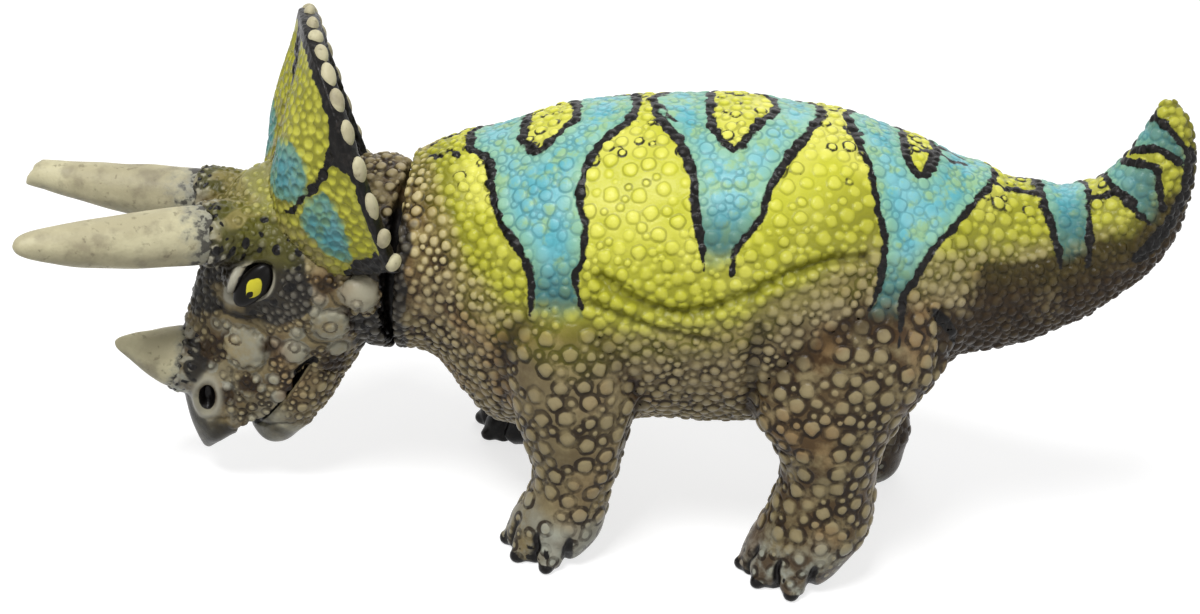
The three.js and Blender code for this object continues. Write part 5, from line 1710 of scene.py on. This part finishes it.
# The paint group reads the skin's own marks and gives the colour, roughness and height.
def fillSkin(t):
    place = objectPlace(t)
    inputs = {label: t.node("ShaderNodeAttribute", attribute_name=label).outputs["Vector"]
              for label in ("paint", "more", "relief", "trim", "spots")}
    paint = t.node("ShaderNodeGroup", {**inputs, "place": place}, node_tree=paintGroup()).outputs
    finishMaterial(t, paint["colour"], paint["roughness"], paint["height"], specular=0.17)


# Bone: pale, with brown spots and streaks and a darker root.
def boneMaterial():
    return namedMaterial("paintedBone", fillBone)


# Layers from the palest up: dull patches, spots, the painted shade that the mesh gives, the root, and its
# pits.
def fillBone(t):
    place = objectPlace(t)
    along, hornShade, _ = t.attribute("relief")
    soft = t.noise(place, 9, 4)
    spot = t.noise(place, 2.2, 3, 5)
    patch = t.noise(place, 6.0, 4, 17)
    colour = t.mix(t.step(soft, 0.4, 0.65), "bone", "boneLight")
    colour = t.mix(t.times(t.step(patch, 0.52, 0.7), 0.55), colour, "boneDull")
    colour = t.mix(t.times(t.step(spot, 0.6, 0.72), 0.5), colour, "boneSpot")
    wash = t.times(hornShade, t.plus(0.15, t.times(t.step(patch, 0.4, 0.62), 0.35)), clamp=True)
    colour = t.mix(wash, colour, "boneShade")
    hasRoot = t.step(along, 0.00001, 0.0001)
    near = t.plus(along, t.times(t.minus(spot, 0.5), 0.35))
    root = t.times(t.step(near, 0.2, 0.02), hasRoot)
    colour = t.mix(t.times(root, 0.75), colour, "boneRoot")
    pits = t.times(t.times(t.step(near, 0.12, 0.02), hasRoot), t.step(spot, 0.5, 0.42))
    colour = t.mix(t.times(pits, 0.85), colour, "bonePit")
    finishMaterial(t, colour, t.plus(0.38, t.times(spot, 0.25)),
                   t.times(t.noise(place, 0.7, 4, 9), 0.12))


# Dark bare vinyl of the neck's ball.
def ballMaterial():
    return namedMaterial("darkVinyl", fillBall)


# Two blacks in soft patches.
def fillBall(t):
    place = objectPlace(t)
    colour = t.mix(t.step(t.noise(place, 5, 3), 0.4, 0.65), "black", "blackWorn")
    finishMaterial(t, colour, t.plus(0.42, t.times(t.noise(place, 1.5, 3, 5), 0.2)),
                   t.times(t.noise(place, 0.5, 3, 9), 0.08))


# Eye: black with a yellow block and a dark pupil, laid out on the bead's own axes.
def eyeMaterial():
    return namedMaterial("paintedEye", fillEye)


# The block and the pupil are rounded blocks: inside, the cubes of both shares of the way out add up to
# less than 1.
def fillEye(t):
    a, b, _ = t.attribute("relief")
    place = objectPlace(t)
    rough = t.times(t.minus(t.noise(place, 1.2, 3), 0.5), 0.5)
    blend = lambda x, y: t.plus(t.times(a, x), t.times(b, y))
    level, fall = blend(-0.557, -0.9), blend(0.62, -0.727)       # the block stands upright on the face
    away = lambda value, middle, half: t.math("ABSOLUTE", t.math("DIVIDE", t.minus(value, middle), half))
    power = lambda value, middle, half: t.math("POWER", away(value, middle, half), 3.0)
    iris = t.plus(t.plus(power(level, 0.0, 1.9), power(fall, -0.25, 2.25)), rough)
    pupil = t.plus(power(level, -0.95, 0.85), power(fall, 1.1, 0.8))
    colour = t.mix(t.step(iris, 1.15, 0.85), "black", "iris")
    colour = t.mix(t.step(pupil, 1.2, 0.8), colour, "pupil")
    finishMaterial(t, colour, 0.3, specular=0.12)


# Studio

studio = {
    "eye": (53.5, -431.42, 264.42),   # millimetres, from the floor under the neck's ball
    "aim": (53.5, 0.0, 54.0),
    "roll": 6.4,                      # degrees
    "lens": 56.88, "sensor": 36,
    "farthest": 20,                   # metres that the camera sees
    "floor": 4.0,                     # half the floor's side in metres
    "floorShade": 0.45, "floorGlow": 0.72,
    "ambient": 0.3,                   # the world's light on the figure, of 1 as the camera sees it
    "lampAim": (0, 0, 0.05),
}
lamps = {
    # place in metres, side of its square, watts
    "key": ((-0.3, -0.55, 1.15), 0.4, 13),
    "fill": ((0.9, -0.8, 0.4), 0.8, 2.5),
    "rear": ((0.1, 0.9, 0.8), 0.8, 3),
}


# The camera looks along eye to aim and is rolled so that level lines fall to the right.
def makeCamera():
    data = bpy.data.cameras.new("camera")
    data.lens = studio["lens"]
    data.sensor_width = studio["sensor"]
    data.clip_end = studio["farthest"]
    camera = addObject("camera", data)
    eye, aim = (Vector(toScene(np.array(studio[k]))) for k in ("eye", "aim"))
    ahead = (aim - eye).normalized()
    right = ahead.cross(Vector((0, 0, 1))).normalized()
    up = right.cross(ahead)
    roll = math.radians(studio["roll"])
    tilted = (right * math.cos(roll) + up * math.sin(roll), up * math.cos(roll) - right * math.sin(roll))
    axes = Matrix((tilted[0], tilted[1], -ahead)).transposed()
    camera.matrix_world = Matrix.Translation(eye) @ axes.to_4x4()
    bpy.context.scene.camera = camera


# A square area lamp, turned from its place to its aim.
def addLamp(name, place, size, power):
    data = bpy.data.lights.new(name, "AREA")
    data.energy, data.size = power, size
    lamp = addObject(name, data)
    lamp.location = place
    lamp.rotation_euler = (Vector(studio["lampAim"]) - Vector(place)).to_track_quat("-Z", "Y").to_euler()


# 1 for the rays that show the background: the camera's own, and those by way of metal or glass.
def seenDirectly(t):
    path = t.node("ShaderNodeLightPath").outputs
    return t.larger(t.larger(path["Is Camera Ray"], path["Is Glossy Ray"]), path["Is Transmission Ray"])


# Lamps, a white world that lights the figure at its ambient share, and a pale floor that keeps the shadow.
def makeStudio():
    for name, (place, size, power) in lamps.items():
        addLamp(name, place, size, power)
    world = bpy.data.worlds.new("studio")
    bpy.context.scene.world = world
    world.use_nodes = True
    t = Tree(world.node_tree)
    world.node_tree.nodes.clear()
    strength = t.plus(studio["ambient"], t.times(seenDirectly(t), 1 - studio["ambient"]))
    back = t.node("ShaderNodeBackground", {"Color": (1, 1, 1, 1), "Strength": strength})
    t.node("ShaderNodeOutputWorld", {"Surface": back.outputs[0]})
    far = studio["floor"]
    corners = np.array([(-far, -far, 0), (far, -far, 0), (far, far, 0), (-far, far, 0)])
    floor = addObject("floor", makeMesh("floor", corners, [np.array([[0, 1, 2, 3]])]))
    floor.data.materials.append(namedMaterial("paleFloor", fillFloor))
    bpy.context.scene.view_settings.view_transform = "Standard"
    print("studio:", len(lamps), "lamps and a floor")


# Matte grey plus a glow that only the rays to the background see.
def fillFloor(t):
    shade, glow = studio["floorShade"], t.times(seenDirectly(t), studio["floorGlow"])
    matte = t.node("ShaderNodeBsdfDiffuse", {"Color": (shade, shade, shade, 1)})
    light = t.node("ShaderNodeEmission", {"Color": (1, 1, 1, 1), "Strength": glow})
    both = t.node("ShaderNodeAddShader", {0: matte.outputs[0], 1: light.outputs[0]})
    t.node("ShaderNodeOutputMaterial", {"Surface": both.outputs[0]})


makeCamera()
makeStudio()
makeBody()
makeHead()
makeJaw()
makeFrill()
makeHorns()
makeEyes()
ball = frame["nodes"]["neck_ball"]
ball.data.materials.clear()
ball.data.materials.append(ballMaterial())
